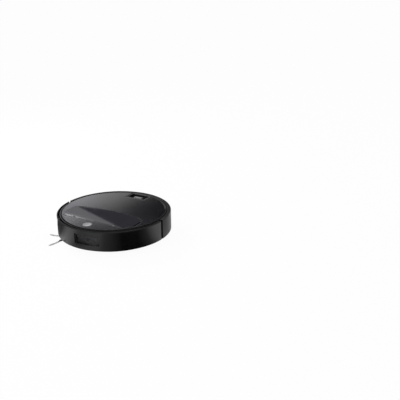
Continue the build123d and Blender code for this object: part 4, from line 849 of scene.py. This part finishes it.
def fade_in(g, clear, full):
    """0 at one (x, z) place of an upright card, 1 at another."""
    (x0, z0), (x1, z1) = clear, full
    reach = (x1 - x0) ** 2 + (z1 - z0) ** 2
    along = g.maths("ADD", g.maths("MULTIPLY", g.axis("X"), (x1 - x0) / reach),
                    g.maths("MULTIPLY", g.axis("Z"), (z1 - z0) / reach))
    start = (x0 * (x1 - x0) + z0 * (z1 - z0)) / reach
    return g.span(along, low=0.0, high=1.0, start=start, end=start + 1.0)


def back_card(name, outline, tone, y, *fades):
    """Upright card behind the robot, which fades in between pairs of (x, z) places."""
    g = Graph(name)
    solid = 1.0
    for clear, full in fades:
        solid = g.maths("MULTIPLY", fade_in(g, clear, full), solid)
    g.veil(solid, tone)
    only_mirrored(plate(name, [(x, y, z) for x, z in outline], g.material))


def ring_card():
    """Dark card on the floor round the front, darker and clearer by turns, that the bumper mirrors."""
    g = Graph("floor_card")
    angle = g.maths("ARCTAN2", g.axis("X"), g.maths("MULTIPLY", g.axis("Y"), -1.0))
    place = g.span(angle, low=0.0, high=1.0, start=math.radians(RING_FROM), end=math.radians(RING_TO))
    reach = RING_TO - RING_FROM
    stops = [((turn - RING_FROM) / reach, (dark, dark, dark)) for turn, dark in RING_SHADE]
    g.veil(g.ramp(place, *stops), BLACK)
    points = []
    for k in range(RING_STEPS + 1):
        turn = math.radians(RING_FROM + reach * k / RING_STEPS)
        points += [(r * math.sin(turn), -r * math.cos(turn), RING_Z) for r in RING_R]
    faces = [(2 * k, 2 * k + 1, 2 * k + 3, 2 * k + 2) for k in range(RING_STEPS)]
    only_mirrored(mesh_piece("floor_card", points, faces, g.material, smooth=False))


def window_card():
    """Partly clear black card flat on the floor that the front window mirrors."""
    g = Graph("window_card")
    g.veil(WINDOW_DARK, BLACK)
    only_mirrored(plate("window_card", [(x, y, WINDOW_Z) for x, y in WINDOW_CARD], g.material))


def softbox(name, place, size, power):
    """Square soft lamp aimed at the robot."""
    lamp = bpy.data.lights.new(name, "AREA")
    lamp.shape = "SQUARE"
    lamp.size = size
    lamp.energy = power
    holder = bpy.data.objects.new(name, lamp)
    holder.location = place
    holder.rotation_euler = (Vector(LAMP_AIM) - Vector(place)).to_track_quat("-Z", "Y").to_euler()
    bpy.context.scene.collection.objects.link(holder)


def studio():
    """Floor, light and the cards that the glossy top and the bumper mirror."""
    studio_world()
    floor()
    back_card("hatch_card", HATCH_CARD, HATCH_TONE, HATCH_Y)
    back_card("end_card", END_CARD, END_TONE, END_Y)
    back_card("strip_card", STRIP_CARD, STRIP_TONE, STRIP_Y, STRIP_FADE)
    back_card("right_card", RIGHT_CARD, RIGHT_TONE, BACK_Y, RIGHT_FADE, RIGHT_END_FADE)
    back_card("left_card", LEFT_CARD, LEFT_TONE, LEFT_Y, LEFT_FADE)
    ring_card()
    window_card()
    softbox("key", KEY_AT, KEY_SIZE, KEY_POWER)
    softbox("fill", FILL_AT, FILL_SIZE, FILL_POWER)


def camera():
    """Camera at the photograph's place."""
    data = bpy.data.cameras.new("camera")
    data.lens = CAMERA_LENS
    data.sensor_width = SENSOR_W
    data.clip_end = CAMERA_REACH
    holder = bpy.data.objects.new("camera", data)
    holder.location = CAMERA_AT
    holder.rotation_euler = (CAMERA_TILT, 0.0, CAMERA_TURN)
    bpy.context.scene.collection.objects.link(holder)
    bpy.context.scene.camera = holder


def main():
    """Dress the model and set the scene."""
    for item in list(bpy.data.objects):
        bpy.data.objects.remove(item)
    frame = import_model()
    bpy.context.scene.view_settings.view_transform = "Standard"
    camera()
    studio()
    dress(frame["nodes"])
    side_brush_bristles(frame)
    pile = microfibre("mop_pile", PILE_GREY)
    for side in ("left", "right"):
        mop_pad(frame, side, pile)
    groove_shade_bead()
    pan_screws()


main()
